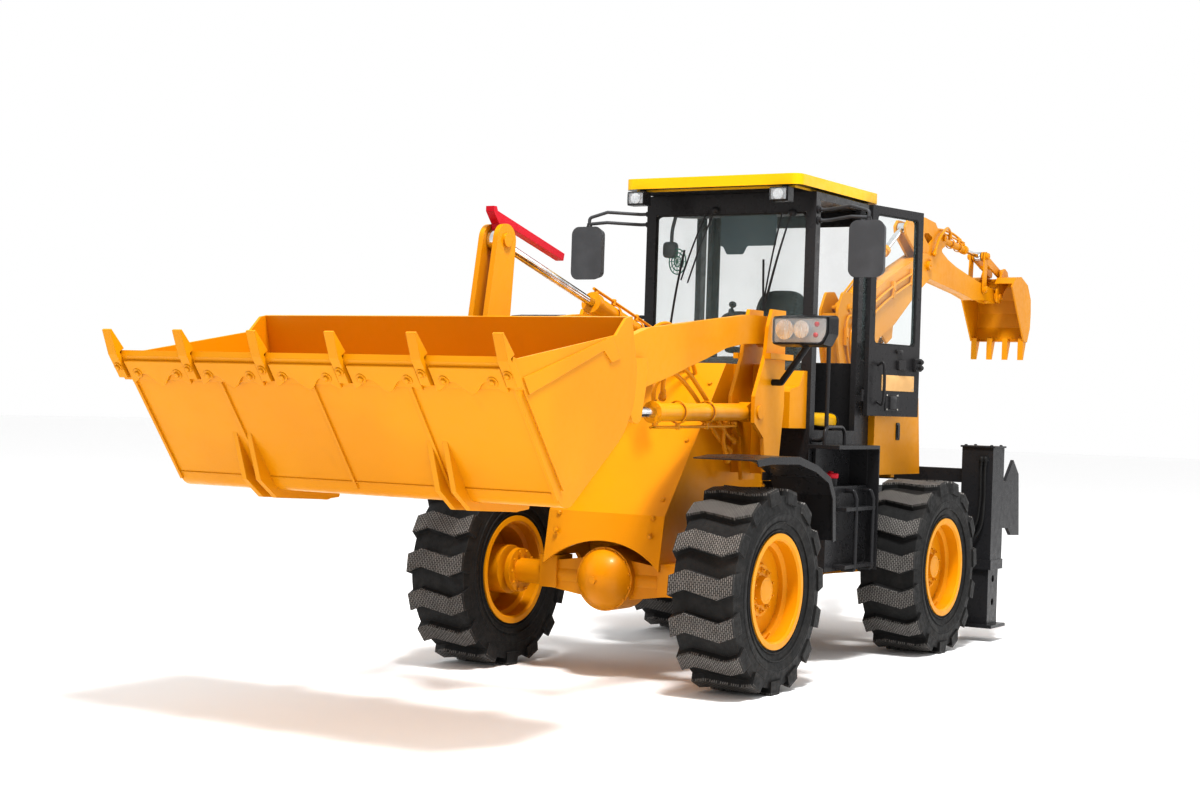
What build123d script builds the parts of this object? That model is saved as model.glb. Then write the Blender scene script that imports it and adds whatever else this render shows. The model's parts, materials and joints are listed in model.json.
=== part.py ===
from build123d import *
import os
from math import atan2, cos, degrees, hypot, radians, sin

# Articulated backhoe loader, in millimetres: it faces -Y, +X is its left, +Z is up.
# Places are (y, z) pairs in the side view, y counted rearward from the front axle.
os.makedirs("parts", exist_ok=True)

# ---- driving sizes -------------------------------------------------------------------
FRONT_AXLE_Y = -2235            # front axle from the middle of the whole machine
WHEELBASE = 2580
TRACK_HALF = 900
AXLE_Z = 587.5                  # also the tyre radius out to the lugs' tips
TYRE_W = 420
TREAD_R = 548                   # the tyre's body between its lugs
LUGS = 15
LUG_FOOT_R, LUG_HALF, LUG_TAPER = 505, 64, 6
LUG_WAVE = (  # share of the half width, offset round the tread: one lug's zigzag
    (-1, -20), (-0.5, 22), (0.5, -22), (1, 20),
)
RIM_SEAT_R, RIM_WELL_R, RIM_FLANGE_R, RIM_T = 300, 262, 333, 12
DISC_X, DISC_T = 64, 16         # the rim disc's outer face from the tyre's middle
BOLT_FACE_R, BOLT_FACE_T = 150, 20
CAP_R, CAP_X = 85, 120
SPINDLE_R = 60
AXLE_TUBE_R, BANJO_R, DRUM_R = 75, 190, 150
PAD_RISE = 115                  # the axle's seat pads stand this far over its centre
FIT = 0.3                       # gap of seated and running fits
GAP = 5                         # gap between pieces that move past each other
PIVOT_Y = WHEELBASE / 2         # articulation pivot, halfway between the axles
PIVOT_PIN_R = 40
CHASSIS_HALF = 400
CHASSIS_T = 25
REAR_HALF = 340                 # outside of the rear frame's side plates
TOWER_IN, TOWER_OUT, TOWER_T = 535, 665, 25
ARM_X, ARM_T = 600, 50
BOOM_PIVOT = (700, 2100)
BUCKET_PIN = (-2010, 1170)
ROCKER_PIN = (-1430, 1790)
ROCKER_TOP = (-1340, 2490)
ROCKER_LOW = (-1290, 1311)
BUCKET_LINK_PIN = (-1798, 1423)
CROSS_TUBE = (-1150, 1640)
TILT_BASE = (560, 1960)
LIFT_BASE = (500, 1605)
LIFT_EYE = (-925, 1583)
ROCKER_IN, ROCKER_T = 32, 30    # inside and thickness of the rocker's two plates
BUCKET_HALF = 1165
EDGE_HALF = 1205
BUCKET_WALL = 16
BUCKET_ROLL = 54                # how far the bucket is rolled back
BUCKET_HEEL = (-2440, 1125)
CAB_HALF = 625
CAB_FRONT, CAB_REAR = 1345, 2280
CAB_FLOOR, CAB_TOP = 1500, 3035
PILLAR = 70
ROOF_HALF = 640
ROOF_FRONT, ROOF_REAR = 1060, 2325
ROOF_TOP = 3120
DOOR_W, DOOR_LOW, DOOR_HIGH = 650, 1605, 3025
DOOR_OPEN = 10.6                # degrees past square to the rear at which the door stands
HINGE = (668, 2065)             # the door hinge's x and y
HINGE_LOWS, KNUCKLE_R, KNUCKLE_H = (1700, 2750), 11, 40
HOOD_HALF, HOOD_REAR, HOOD_LOW, HOOD_TOP = 670, 3120, 1200, 1800
GLAND_RIM, GLAND_W = 10, 45
EYE_BORE = 0.45                 # bore of a cylinder's eye, as a share of the eye
HOE_X = -300                    # the backhoe stands slid over to the right
RAIL_Y, RAIL_D = 3500, 80
RAIL_LOW, RAIL_HIGH, RAIL_H = 700, 1140, 100
LEG, LEG_OUT, LEG_Y = 235, 1100, 3450
LEG_LOW, LEG_TOP = 550, 1400
FOOT_Z = 100
SLEW_Y = 3860
HOE_FOOT = (3985, 1560)
HOE_TIP = (5380, 2880)
HOE_RAM_BASE = (4150, 1375)
HOE_RAM_EYE = (4640, 2250)
DIPPER_RAM_BASE = (3800, 2430)
DIPPER_RAM_EYE = (4990, 3165)
DIPPER_END = (7093, 2726)
LINK_FOOT = (6770, 2775)
LINK_TOP = (6790, 3075)
HOE_BUCKET_PIN = (7215, 2945)
CURL_BASE = (5790, 3150)
HOE_PLATE = 20
HOE_HALF = 80                   # half width of the backhoe boom
HOE_BUCKET_HALF = 260


# ---- shapes used again and again -----------------------------------------------------
def side(x):
    """The side view at x: its own x runs rearward and its own y runs up."""
    return Plane(origin=(x, FRONT_AXLE_Y, 0), x_dir=(0, 1, 0), z_dir=(1, 0, 0))


def plate(outline, x_from, x_to, mode=Mode.ADD, soften=0):
    """A plate cut to an outline in the side view, its corners rounded, from one x to another."""
    with BuildSketch(side(x_from)) as face:
        with BuildLine():
            Polyline(*outline, close=True)
        make_face()
        if soften:
            fillet(face.vertices(), soften)
    extrude(face.sketch, amount=x_to - x_from, mode=mode)


def pair(outline, x_in, x_out, mode=Mode.ADD, soften=0):
    """The same plate on the left and on the right."""
    plate(outline, x_in, x_out, mode, soften)
    plate(outline, -x_out, -x_in, mode, soften)


def bar(place, radius, x_from, x_to, mode=Mode.ADD):
    """A round bar, boss or bore across the machine."""
    with BuildSketch(side(x_from)) as face:
        with Locations(place):
            Circle(radius)
    extrude(face.sketch, amount=x_to - x_from, mode=mode)


def link(start, end, r_start, r_end, x_from, x_to, mode=Mode.ADD):
    """A flat link whose outline runs round two bosses and straight between them."""
    with BuildSketch(side(x_from)) as face:
        with Locations(start):
            Circle(r_start)
        with Locations(end):
            Circle(r_end)
        make_hull()
    extrude(face.sketch, amount=x_to - x_from, mode=mode)


def block(x_range, y_range, z_range, mode=Mode.ADD):
    """A box between limits."""
    sizes = [b - a for a, b in (x_range, y_range, z_range)]
    middle = [(a + b) / 2 for a, b in (x_range, y_range, z_range)]
    with Locations((middle[0], FRONT_AXLE_Y + middle[1], middle[2])):
        Box(*sizes, mode=mode)


def blocks(x_in, x_out, y_range, z_range, mode=Mode.ADD):
    """The same box on the left and on the right."""
    block((x_in, x_out), y_range, z_range, mode)
    block((-x_out, -x_in), y_range, z_range, mode)


def pipe(points, radius, bend):
    """A round rod or tube bent through points given as (x, y, z)."""
    with BuildLine() as path:
        FilletPolyline(*[(x, FRONT_AXLE_Y + y, z) for x, y, z in points], radius=bend)
    with BuildSketch(Plane(path.line @ 0, z_dir=path.line % 0)) as end:
        Circle(radius)
    sweep(end.sketch, path=path.line)


def reach(start, end):
    """The distance between two places of the side view."""
    return hypot(end[0] - start[0], end[1] - start[1])


def along(x, start, end, offset=0):
    """The plane at start whose normal points to end, in the side view at x."""
    way = tuple((b - a) / reach(start, end) for a, b in zip(start, end))
    origin = (x, FRONT_AXLE_Y + start[0] + way[0] * offset, start[1] + way[1] * offset)
    return Plane(origin=origin, x_dir=(1, 0, 0), z_dir=(0, *way))


def rod_piece(x, start, end, radius, begin, finish, mode=Mode.ADD):
    """A round piece on the line from start to end, between two distances from start."""
    with BuildSketch(along(x, start, end, begin)) as face:
        Circle(radius)
    extrude(face.sketch, amount=finish - begin, mode=mode)


def point_on(start, end, distance):
    """The place at a distance from start on the line to end."""
    share = distance / reach(start, end)
    return (start[0] + (end[0] - start[0]) * share, start[1] + (end[1] - start[1]) * share)


def barrel(x, base, eye, radius, rod_r, length, eye_r, eye_half, neck):
    """A cylinder's barrel: base eye, tube, gland ring with its bore for the rod."""
    link(base, point_on(base, eye, neck), eye_r, eye_r * 0.6, x - eye_half, x + eye_half)
    rod_piece(x, base, eye, radius, neck, length)
    rod_piece(x, base, eye, radius + GLAND_RIM, length - GLAND_W, length)
    rod_piece(x, base, eye, rod_r + FIT, neck + 20, length + 1, Mode.SUBTRACT)
    bar(base, eye_r * EYE_BORE, x - eye_half - 1, x + eye_half + 1, Mode.SUBTRACT)


def piston_rod(x, base, eye, rod_r, begin, eye_r, eye_half):
    """A cylinder's rod, from inside the barrel to the eye at its outer end."""
    rod_piece(x, base, eye, rod_r, begin, reach(base, eye) - eye_r * 0.6)
    bar(eye, eye_r, x - eye_half, x + eye_half)
    bar(eye, eye_r * EYE_BORE, x - eye_half - 1, x + eye_half + 1, Mode.SUBTRACT)


def write(piece, name):
    piece.part.label = name
    export_step(piece.part, f"parts/{name}.step")


# ---- wheels --------------------------------------------------------------------------
HALF_W = TYRE_W / 2
BEAD = HALF_W * 0.86            # half width of the tyre's seat on its rim
LIP = BEAD + FIT
WELL_HALF, SEAT_IN = 80, 95


def ring_about_axle(outline):
    """A ring turned about the middle of the front axle, from an outline of (x, radius)."""
    plane = Plane(origin=(0, FRONT_AXLE_Y, AXLE_Z), x_dir=(1, 0, 0), z_dir=(0, -1, 0))
    with BuildSketch(plane) as face:
        with BuildLine():
            Polyline(*outline, close=True)
        make_face()
    revolve(face.sketch, axis=Axis((0, FRONT_AXLE_Y, AXLE_Z), (1, 0, 0)))


def both_sides(outline):
    """A closed outline from its left half, listed from inside the ring outward."""
    return (*outline, *[(-x, radius) for x, radius in reversed(outline)])


with BuildPart() as lug:
    foot = Plane(origin=(0, FRONT_AXLE_Y, AXLE_Z - LUG_FOOT_R), x_dir=(1, 0, 0), z_dir=(0, 0, -1))
    with BuildSketch(foot) as face:
        with BuildLine():
            near = [(share * HALF_W, offset - LUG_HALF) for share, offset in LUG_WAVE]
            far = [(share * HALF_W, offset + LUG_HALF) for share, offset in reversed(LUG_WAVE)]
            Polyline(*near, *far, close=True)
        make_face()
    extrude(face.sketch, amount=AXLE_Z - LUG_FOOT_R, taper=LUG_TAPER)

with BuildPart() as tyre_form:
    ring_about_axle(both_sides((
        (BEAD, RIM_SEAT_R + FIT), (BEAD, RIM_FLANGE_R + FIT), (HALF_W, 440), (190, TREAD_R),
    )))
    axle_line = Axis((0, FRONT_AXLE_Y, AXLE_Z), (1, 0, 0))
    add([lug.part.rotate(axle_line, n * 360 / LUGS) for n in range(LUGS)])

with BuildPart() as rim_form:
    ring_about_axle(both_sides((
        (WELL_HALF + 15, RIM_WELL_R), (SEAT_IN + 15, RIM_SEAT_R - RIM_T), (LIP, RIM_SEAT_R - RIM_T),
        (LIP + RIM_T, RIM_SEAT_R), (LIP + RIM_T, RIM_FLANGE_R), (LIP, RIM_FLANGE_R),
        (LIP, RIM_SEAT_R), (SEAT_IN, RIM_SEAT_R), (WELL_HALF, RIM_WELL_R + RIM_T),
    )))
    bolt_x = DISC_X + BOLT_FACE_T
    ring_about_axle((
        (DISC_X - DISC_T, SPINDLE_R + FIT), (DISC_X - DISC_T, RIM_WELL_R + 1),
        (DISC_X, RIM_WELL_R + 1), (DISC_X, BOLT_FACE_R + 8), (bolt_x, BOLT_FACE_R),
        (bolt_x, CAP_R), (CAP_X, CAP_R - 8), (CAP_X, SPINDLE_R + FIT),
    ))

WHEELS = (  # name, side, distance behind the front axle
    ("front_left", 1, 0),
    ("front_right", -1, 0),
    ("rear_left", 1, WHEELBASE),
    ("rear_right", -1, WHEELBASE),
)
for name, hand, y in WHEELS:
    place = Location((hand * TRACK_HALF, y, 0))
    with BuildPart() as tyre:
        add(tyre_form.part.moved(place))
    write(tyre, f"tyre_{name}")
    with BuildPart() as rim:
        facing = 0 if hand > 0 else 180
        add(rim_form.part.rotate(Axis((0, FRONT_AXLE_Y, 0), (0, 0, 1)), facing).moved(place))
    write(rim, f"rim_{name}")


# ---- axles ---------------------------------------------------------------------------
BEAM_HALF, BANJO_HALF, DOME_OUT = 65, 110, 50


def axle(y, dome):
    """A drive axle: banjo with its dome to the front (-1) or rear (1), beams, drums, spindles."""
    drum_in = TRACK_HALF - BEAD + 20
    drum_out = TRACK_HALF + DISC_X - DISC_T - 2 * GAP
    across = Plane(origin=(0, FRONT_AXLE_Y + y, AXLE_Z), x_dir=(1, 0, 0), z_dir=(0, dome, 0))
    with BuildSketch(across.offset(-BEAM_HALF)) as beam:
        Circle(BANJO_R * 0.72)
        with Locations((-470, 0), (470, 0)):
            Rectangle(10, AXLE_TUBE_R * 1.9)
        make_hull()
    extrude(beam.sketch, amount=2 * BEAM_HALF)
    with BuildSketch(across.offset(-BANJO_HALF)) as banjo:
        Circle(BANJO_R)
    extrude(banjo.sketch, amount=2 * BANJO_HALF)
    with Locations((0, FRONT_AXLE_Y + y + dome * DOME_OUT, AXLE_Z)):
        Sphere(BANJO_R)
    with BuildSketch(across.offset(DOME_OUT + BANJO_R - 20)) as plug:
        RegularPolygon(26, 6)
    extrude(plug.sketch, amount=30)
    with BuildSketch(across.offset(-BANJO_HALF + 1)) as nose:
        Circle(95)
    extrude(nose.sketch, amount=-130, taper=10)
    bar((y, AXLE_Z), AXLE_TUBE_R, -drum_in, drum_in)
    for hand in (1, -1):
        bar((y, AXLE_Z), DRUM_R, *sorted((hand * drum_in, hand * drum_out)))
        bar((y, AXLE_Z), DRUM_R - 15, *sorted((hand * (drum_in - 75), hand * (drum_in - 40))))
        bar((y, AXLE_Z), SPINDLE_R, *sorted((hand * drum_out, hand * (TRACK_HALF + CAP_X))))


SEAT_Z = AXLE_Z + PAD_RISE
with BuildPart() as front_axle:
    axle(0, -1)
    blocks(350, 470, (-90, 90), (AXLE_Z - 80, SEAT_Z))
write(front_axle, "front_axle")
with BuildPart() as rear_axle:
    axle(WHEELBASE, 1)
    blocks(290, 390, (WHEELBASE - 90, WHEELBASE + 90), (AXLE_Z - 80, SEAT_Z))
write(rear_axle, "rear_axle")

# ---- front frame ---------------------------------------------------------------------
NECK_LOW, NECK_HIGH = 560, 1210
FORK_T, TONGUE_T = 30, 50
ARCH_R, ARCH_Z = 590, 224       # the front plate is cut to this circle over the axle
with BuildPart() as front_chassis:
    pair((
        (-160, SEAT_Z), (-110, 980), (600, 1900), (740, 1900), (740, 1260), (1150, NECK_HIGH),
        (1150, NECK_LOW), (330, NECK_LOW), (200, SEAT_Z),
    ), CHASSIS_HALF - CHASSIS_T, CHASSIS_HALF)
    plate((
        (-168, 655), (-110, 980), (600, 1900), (740, 1900), (740, 1875), (612, 1875),
        (-86, 970), (-143, 655),
    ), -CHASSIS_HALF, CHASSIS_HALF)
    arch = Plane(origin=(0, FRONT_AXLE_Y - 250, ARCH_Z), x_dir=(1, 0, 0), z_dir=(0, 1, 0))
    with BuildSketch(arch) as face:
        Circle(ARCH_R)
    extrude(face.sketch, amount=150, mode=Mode.SUBTRACT)
    block((-CHASSIS_HALF, CHASSIS_HALF), (1125, 1150), (NECK_LOW, NECK_HIGH))
    block((-TOWER_OUT, TOWER_OUT), (700, 725), (1230, 1900))
    block((-CHASSIS_HALF, CHASSIS_HALF), (330, 355), (NECK_LOW, 1250))
    tower = (
        (600, 1190), (760, 1190), (830, 1650), (820, 2235), (640, 2235), (590, 2130),
        (560, 1950), (430, 1700), (430, 1540), (560, 1450),
    )
    for inner, outer in ((TOWER_IN - TOWER_T, TOWER_IN), (TOWER_OUT, TOWER_OUT + TOWER_T)):
        pair(tower, inner, outer)
    blocks(TOWER_IN - 60, TOWER_IN - TOWER_T, (545, 860), (1930, 1965))
    blocks(TOWER_OUT + TOWER_T, TOWER_OUT + 65, (545, 860), (1930, 1965))
    for hand in (1, -1):
        low, high = sorted((hand * (TOWER_IN - TOWER_T), hand * (TOWER_OUT + TOWER_T)))
        bar(LIFT_BASE, 60 * EYE_BORE - FIT, low, high)
        bar(BOOM_PIVOT, 40, low - 12, high + 12)
        bar(LIFT_BASE, 42, low - 10, low + TOWER_T)
        bar(LIFT_BASE, 42, high - TOWER_T, high + 10)
    pair(((725, 1880), (725, 2010), (600, 2030), (510, 1990), (510, 1930), (600, 1875)), 40, 65)
    bar(TILT_BASE, 58 * EYE_BORE - FIT, -65, 65)
    for low, high in (
        (NECK_HIGH - FORK_T, NECK_HIGH),
        (NECK_HIGH - 2 * FORK_T - TONGUE_T - 2 * GAP, NECK_HIGH - FORK_T - TONGUE_T - 2 * GAP),
        (NECK_LOW, NECK_LOW + FORK_T),
        (NECK_LOW + FORK_T + TONGUE_T + 2 * GAP, NECK_LOW + 2 * FORK_T + TONGUE_T + 2 * GAP),
    ):
        with BuildSketch(Plane.XY.offset(low)) as ear:
            with Locations((0, FRONT_AXLE_Y + PIVOT_Y)):
                Circle(120)
            with Locations((0, FRONT_AXLE_Y + 1150)):
                Rectangle(460, 20)
            make_hull()
        extrude(ear.sketch, amount=high - low)
    for low, high in (
        (NECK_LOW, NECK_LOW + 2 * FORK_T + TONGUE_T + 2 * GAP),
        (NECK_HIGH - 2 * FORK_T - TONGUE_T - 2 * GAP, NECK_HIGH),
    ):
        with Locations((0, FRONT_AXLE_Y + PIVOT_Y, (low + high) / 2)):
            Cylinder(PIVOT_PIN_R, high - low)
write(front_chassis, "front_chassis")

FENDER_T, FENDER_LIP = 8, 45
FENDER = (  # along the top from the front and down behind the tyre
    (-350, 1340), (-180, 1356), (200, 1356), (450, 1303), (640, 1228), (710, 1124), (735, 850),
)
with BuildPart() as front_fenders:
    middle = (100, 700)
    for x_in, x_out, depth in ((705, 1110, FENDER_T), (1110 - FENDER_T, 1110, FENDER_LIP)):
        inside = [point_on(place, middle, depth) for place in reversed(FENDER)]
        pair((*FENDER, *inside), x_in, x_out)
    blocks(TOWER_OUT + TOWER_T, 712, (560, 640), (1195, 1245))
write(front_fenders, "front_fenders")

LAMP_X, LAMP_Y, LAMP_Z = 950, 545, 2100
with BuildPart() as headlamps:
    for hand in (1, -1):
        x = hand * LAMP_X
        with BuildSketch(Plane(origin=(x, FRONT_AXLE_Y + LAMP_Y + 45, LAMP_Z), x_dir=(1, 0, 0),
                               z_dir=(0, -1, 0))) as face:
            with BuildLine():
                Polyline((-190, -95), (160, -95), (200, -20), (200, 95), (-190, 95), close=True)
            make_face()
            fillet(face.vertices(), 25)
        extrude(face.sketch, amount=110, taper=6)
        pipe_points = (
            (hand * (TOWER_OUT + TOWER_T), LAMP_Y + 115, 1790),
            (hand * (TOWER_OUT + TOWER_T + 60), LAMP_Y + 115, 1790),
            (x, LAMP_Y + 60, LAMP_Z - 80),
        )
        pipe(pipe_points, 20, 20)
write(headlamps, "headlamps")

# ---- rear frame ----------------------------------------------------------------------
UNDER_CAB = 1250
CHASSIS_TOP = UNDER_CAB - 70
FRAME_REAR = RAIL_Y
with BuildPart() as rear_chassis:
    pair((
        (1480, 600), (1480, CHASSIS_TOP), (2250, CHASSIS_TOP), (2350, 1100), (FRAME_REAR, 1100),
        (FRAME_REAR, 720), (2900, SEAT_Z), (2300, SEAT_Z), (2180, 600),
    ), REAR_HALF - CHASSIS_T, REAR_HALF)
    inside = REAR_HALF - CHASSIS_T
    block((-inside, inside), (1480, 1505), (600, CHASSIS_TOP))
    block((-inside, inside), (2140, 2165), (850, 1150))
    block((-inside, inside), (3300, 3325), (730, 1090))
    for low in (NECK_LOW + FORK_T + GAP, NECK_HIGH - FORK_T - TONGUE_T - GAP):
        with BuildSketch(Plane.XY.offset(low)) as ear:
            with Locations((0, FRONT_AXLE_Y + PIVOT_Y)):
                Circle(105)
            with Locations((0, FRONT_AXLE_Y + 1490)):
                Rectangle(400, 20)
            make_hull()
            with Locations((0, FRONT_AXLE_Y + PIVOT_Y)):
                Circle(PIVOT_PIN_R + FIT, mode=Mode.SUBTRACT)
        extrude(ear.sketch, amount=TONGUE_T)
    blocks(REAR_HALF, 600, (1620, 1700), (CHASSIS_TOP, UNDER_CAB))
    blocks(REAR_HALF, 600, (2120, 2200), (CHASSIS_TOP, UNDER_CAB))
    blocks(REAR_HALF - CHASSIS_T, 600, (1620, 1700), (CHASSIS_TOP - 30, CHASSIS_TOP))
    blocks(REAR_HALF - CHASSIS_T, 600, (2120, 2200), (CHASSIS_TOP - 30, CHASSIS_TOP))
write(rear_chassis, "rear_chassis")

with BuildPart() as engine_block:
    block((-270, 270), (2330, 3010), (860, 1560))
    blocks(270, REAR_HALF - CHASSIS_T, (2450, 2530), (900, 960))
    blocks(270, REAR_HALF - CHASSIS_T, (2900, 2980), (900, 960))
write(engine_block, "engine_block")

SHEET = 6
with BuildPart() as engine_hood:
    plate((
        (CAB_REAR + GAP, HOOD_LOW), (CAB_REAR + GAP, HOOD_TOP), (2980, HOOD_TOP),
        (HOOD_REAR - 60, HOOD_TOP - 60), (HOOD_REAR, HOOD_LOW),
    ), -HOOD_HALF, HOOD_HALF)
    plate((
        (CAB_REAR + GAP + SHEET, HOOD_LOW - 1), (CAB_REAR + GAP + SHEET, HOOD_TOP - SHEET),
        (2977, HOOD_TOP - SHEET), (HOOD_REAR - 65, HOOD_TOP - 63), (HOOD_REAR - SHEET, HOOD_LOW - 1),
    ), -HOOD_HALF + SHEET, HOOD_HALF - SHEET, Mode.SUBTRACT)
    blocks(REAR_HALF, HOOD_HALF - 2, (2600, 2660), (HOOD_LOW - 20, HOOD_LOW))
    blocks(REAR_HALF - CHASSIS_T, REAR_HALF + 25, (2600, 2660), (1100, HOOD_LOW))
write(engine_hood, "engine_hood")

# ---- cab -----------------------------------------------------------------------------
with BuildPart() as cab_frame:
    block((-CAB_HALF, CAB_HALF), (CAB_FRONT, CAB_REAR), (UNDER_CAB, CAB_TOP))
    block((-CAB_HALF + 40, CAB_HALF - 40), (CAB_FRONT + 40, CAB_REAR - 40),
          (CAB_FLOOR, CAB_TOP - 40), Mode.SUBTRACT)
    wide = CAB_HALF - PILLAR
    block((-wide, wide), (CAB_FRONT - 1, CAB_FRONT + 60), (1830, CAB_TOP - 130), Mode.SUBTRACT)
    block((-wide, wide), (CAB_REAR - 60, CAB_REAR + 1), (1950, CAB_TOP - 130), Mode.SUBTRACT)
    block((CAB_HALF - 60, CAB_HALF + 1), (CAB_FRONT + PILLAR, HINGE[1] - 15),
          (CAB_FLOOR, DOOR_HIGH - 40), Mode.SUBTRACT)
    block((-CAB_HALF - 1, -CAB_HALF + 60), (CAB_FRONT + PILLAR, HINGE[1] - 15),
          (1980, DOOR_HIGH - 40), Mode.SUBTRACT)
    blocks(CAB_HALF - 60, CAB_HALF + 1, (HINGE[1] + 60, CAB_REAR - 60),
           (1980, DOOR_HIGH - 40), Mode.SUBTRACT)
    for low in HINGE_LOWS:
        block((CAB_HALF, HINGE[0]), (HINGE[1] - KNUCKLE_R, HINGE[1] + KNUCKLE_R), (low, low + KNUCKLE_H))
        with Locations((HINGE[0], FRONT_AXLE_Y + HINGE[1], low + KNUCKLE_H / 2)):
            Cylinder(KNUCKLE_R, KNUCKLE_H)
write(cab_frame, "cab_frame")

with BuildPart() as cab_roof:
    block((-ROOF_HALF, ROOF_HALF), (ROOF_FRONT, ROOF_REAR), (CAB_TOP + 15, ROOF_TOP))
    edges = cab_roof.edges().filter_by(Axis.Z)
    fillet(edges, 60)
    block((-ROOF_HALF + 60, ROOF_HALF - 60), (ROOF_FRONT + 60, ROOF_REAR - 60),
          (CAB_TOP, CAB_TOP + 15))
write(cab_roof, "cab_roof")

GLASS_T = 6
with BuildPart() as cab_glass:
    block((-wide, wide), (CAB_FRONT + 15, CAB_FRONT + 15 + GLASS_T), (1830, CAB_TOP - 130))
    block((-wide, wide), (CAB_REAR - 25, CAB_REAR - 25 + GLASS_T), (1950, CAB_TOP - 130))
    block((-CAB_HALF + 15, -CAB_HALF + 15 + GLASS_T), (CAB_FRONT + PILLAR, HINGE[1] - 15),
          (1980, DOOR_HIGH - 40))
    blocks(CAB_HALF - 15 - GLASS_T, CAB_HALF - 15, (HINGE[1] + 60, CAB_REAR - 60),
           (1980, DOOR_HIGH - 40))
write(cab_glass, "cab_glass")

with BuildPart() as cowl:
    pair((
        (1095, 1510), (CAB_FRONT, 1510), (CAB_FRONT, 1880), (1300, 1880), (1230, 1780),
        (1110, 1760), (1095, 1740),
    ), -600, 600)
    block((-590, 590), (1105, CAB_FRONT + 1), (1509, 1730), Mode.SUBTRACT)
write(cowl, "cowl")

with BuildPart() as seat:
    block((-230, 230), (1720, 2150), (1830, 1930))
    plate(((2080, 1930), (2150, 1930), (2215, 2480), (2140, 2490)), -220, 220)
    block((-180, 180), (1760, 2100), (CAB_FLOOR, 1830))
write(seat, "seat")

WHEEL_HUB = (1690, 2165)
with BuildPart() as steering_column:
    rod_piece(0, (1500, CAB_FLOOR + 150), WHEEL_HUB, 45, 0, reach((1500, CAB_FLOOR + 150), WHEEL_HUB) - FIT)
    block((-280, 280), (1400, 1560), (CAB_FLOOR, 1880))
write(steering_column, "steering_column")
with BuildPart() as steering_wheel:
    rim_plane = along(0, (1500, CAB_FLOOR + 150), WHEEL_HUB, reach((1500, CAB_FLOOR + 150), WHEEL_HUB))
    with BuildSketch(rim_plane) as hub:
        Circle(40)
    extrude(hub.sketch, amount=45)
    with Locations(rim_plane.offset(30).location):
        Torus(190, 14)
    with BuildSketch(rim_plane.offset(18)) as spokes:
        with PolarLocations(0, 3):
            with Locations((105, 0)):
                Rectangle(175, 26)
    extrude(spokes.sketch, amount=14)
write(steering_wheel, "steering_wheel")

TANK_FRONT, TANK_REAR = PIVOT_Y + 10, WHEELBASE - 630
STEP_X, STEP_R = 860, 14        # the ladder's rails stand out from the tank's face
STEPS = (630, 1000)
with BuildPart() as side_tanks:
    for hand in (1, -1):
        for x_in, x_out, z_range, y_range in (
            (520, 780, (600, 1145), (TANK_FRONT, TANK_REAR)),
            (CAB_HALF + GAP, 860, (1385, 1410), (TANK_FRONT, TANK_REAR)),
            (CAB_HALF + GAP, 650, (1145, 1385), (TANK_FRONT + 100, TANK_REAR)),
            (780, 860, (590, 1385), (TANK_REAR - 14, TANK_REAR)),
            (650, 780, (1145, 1385), (TANK_REAR - 20, TANK_REAR)),
            (REAR_HALF, 520, (900, 1000), (1750, 1850)),
        ):
            block(sorted((hand * x_in, hand * x_out)), y_range, z_range)
        for z in STEPS:
            ends = sorted((hand * 779, hand * (STEP_X + 8)))
            block(ends, (TANK_FRONT + 120, TANK_REAR - 60), (z - 12, z + 12))
        for y in (TANK_REAR - 360, TANK_REAR - 90):
            pipe((
                (hand * 770, y, 1115), (hand * (STEP_X - 20), y, 1115), (hand * STEP_X, y, 1060),
                (hand * STEP_X, y, 605), (hand * 770, y, 605),
            ), STEP_R, 18)
        with Locations((hand * 700, FRONT_AXLE_Y + TANK_REAR - 420, 1165)):
            Cylinder(45, 60)
        pipe((
            (hand * 745, TANK_FRONT + 20, 1395), (hand * 745, TANK_FRONT + 20, 1525),
            (hand * 745, TANK_FRONT + 330, 1525), (hand * 745, TANK_FRONT + 330, 1395),
        ), 12, 60)
write(side_tanks, "side_tanks")

with BuildPart() as mirrors:
    for hand in (1, -1):
        x = hand * 1030
        for rise in (0, 70):
            pipe((
                (hand * CAB_HALF, CAB_FRONT + 35, 2850 + rise),
                (hand * (CAB_HALF + 70), CAB_FRONT + 35, 2850 + rise),
                (hand * 900, 1280, 2860 + rise), (x, 1260, 2850 + rise * 0.6), (x, 1260, 2800),
            ), 11, 25)
        glass_plane = Plane(origin=(x, FRONT_AXLE_Y + 1230, 2650), x_dir=(1, 0, 0), z_dir=(0, 1, 0))
        with BuildSketch(glass_plane) as face:
            RectangleRounded(240, 360, 55)
        extrude(face.sketch, amount=70, taper=14)
write(mirrors, "mirrors")

with BuildPart() as work_lamps:
    for hand in (1, -1):
        with Locations((hand * 520, FRONT_AXLE_Y + 1050, 2985)):
            Box(130, 80, 90)
        block(sorted((hand * 505, hand * 535)), (1085, 1115), (3025, CAB_TOP + 15))
write(work_lamps, "work_lamps")

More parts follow.
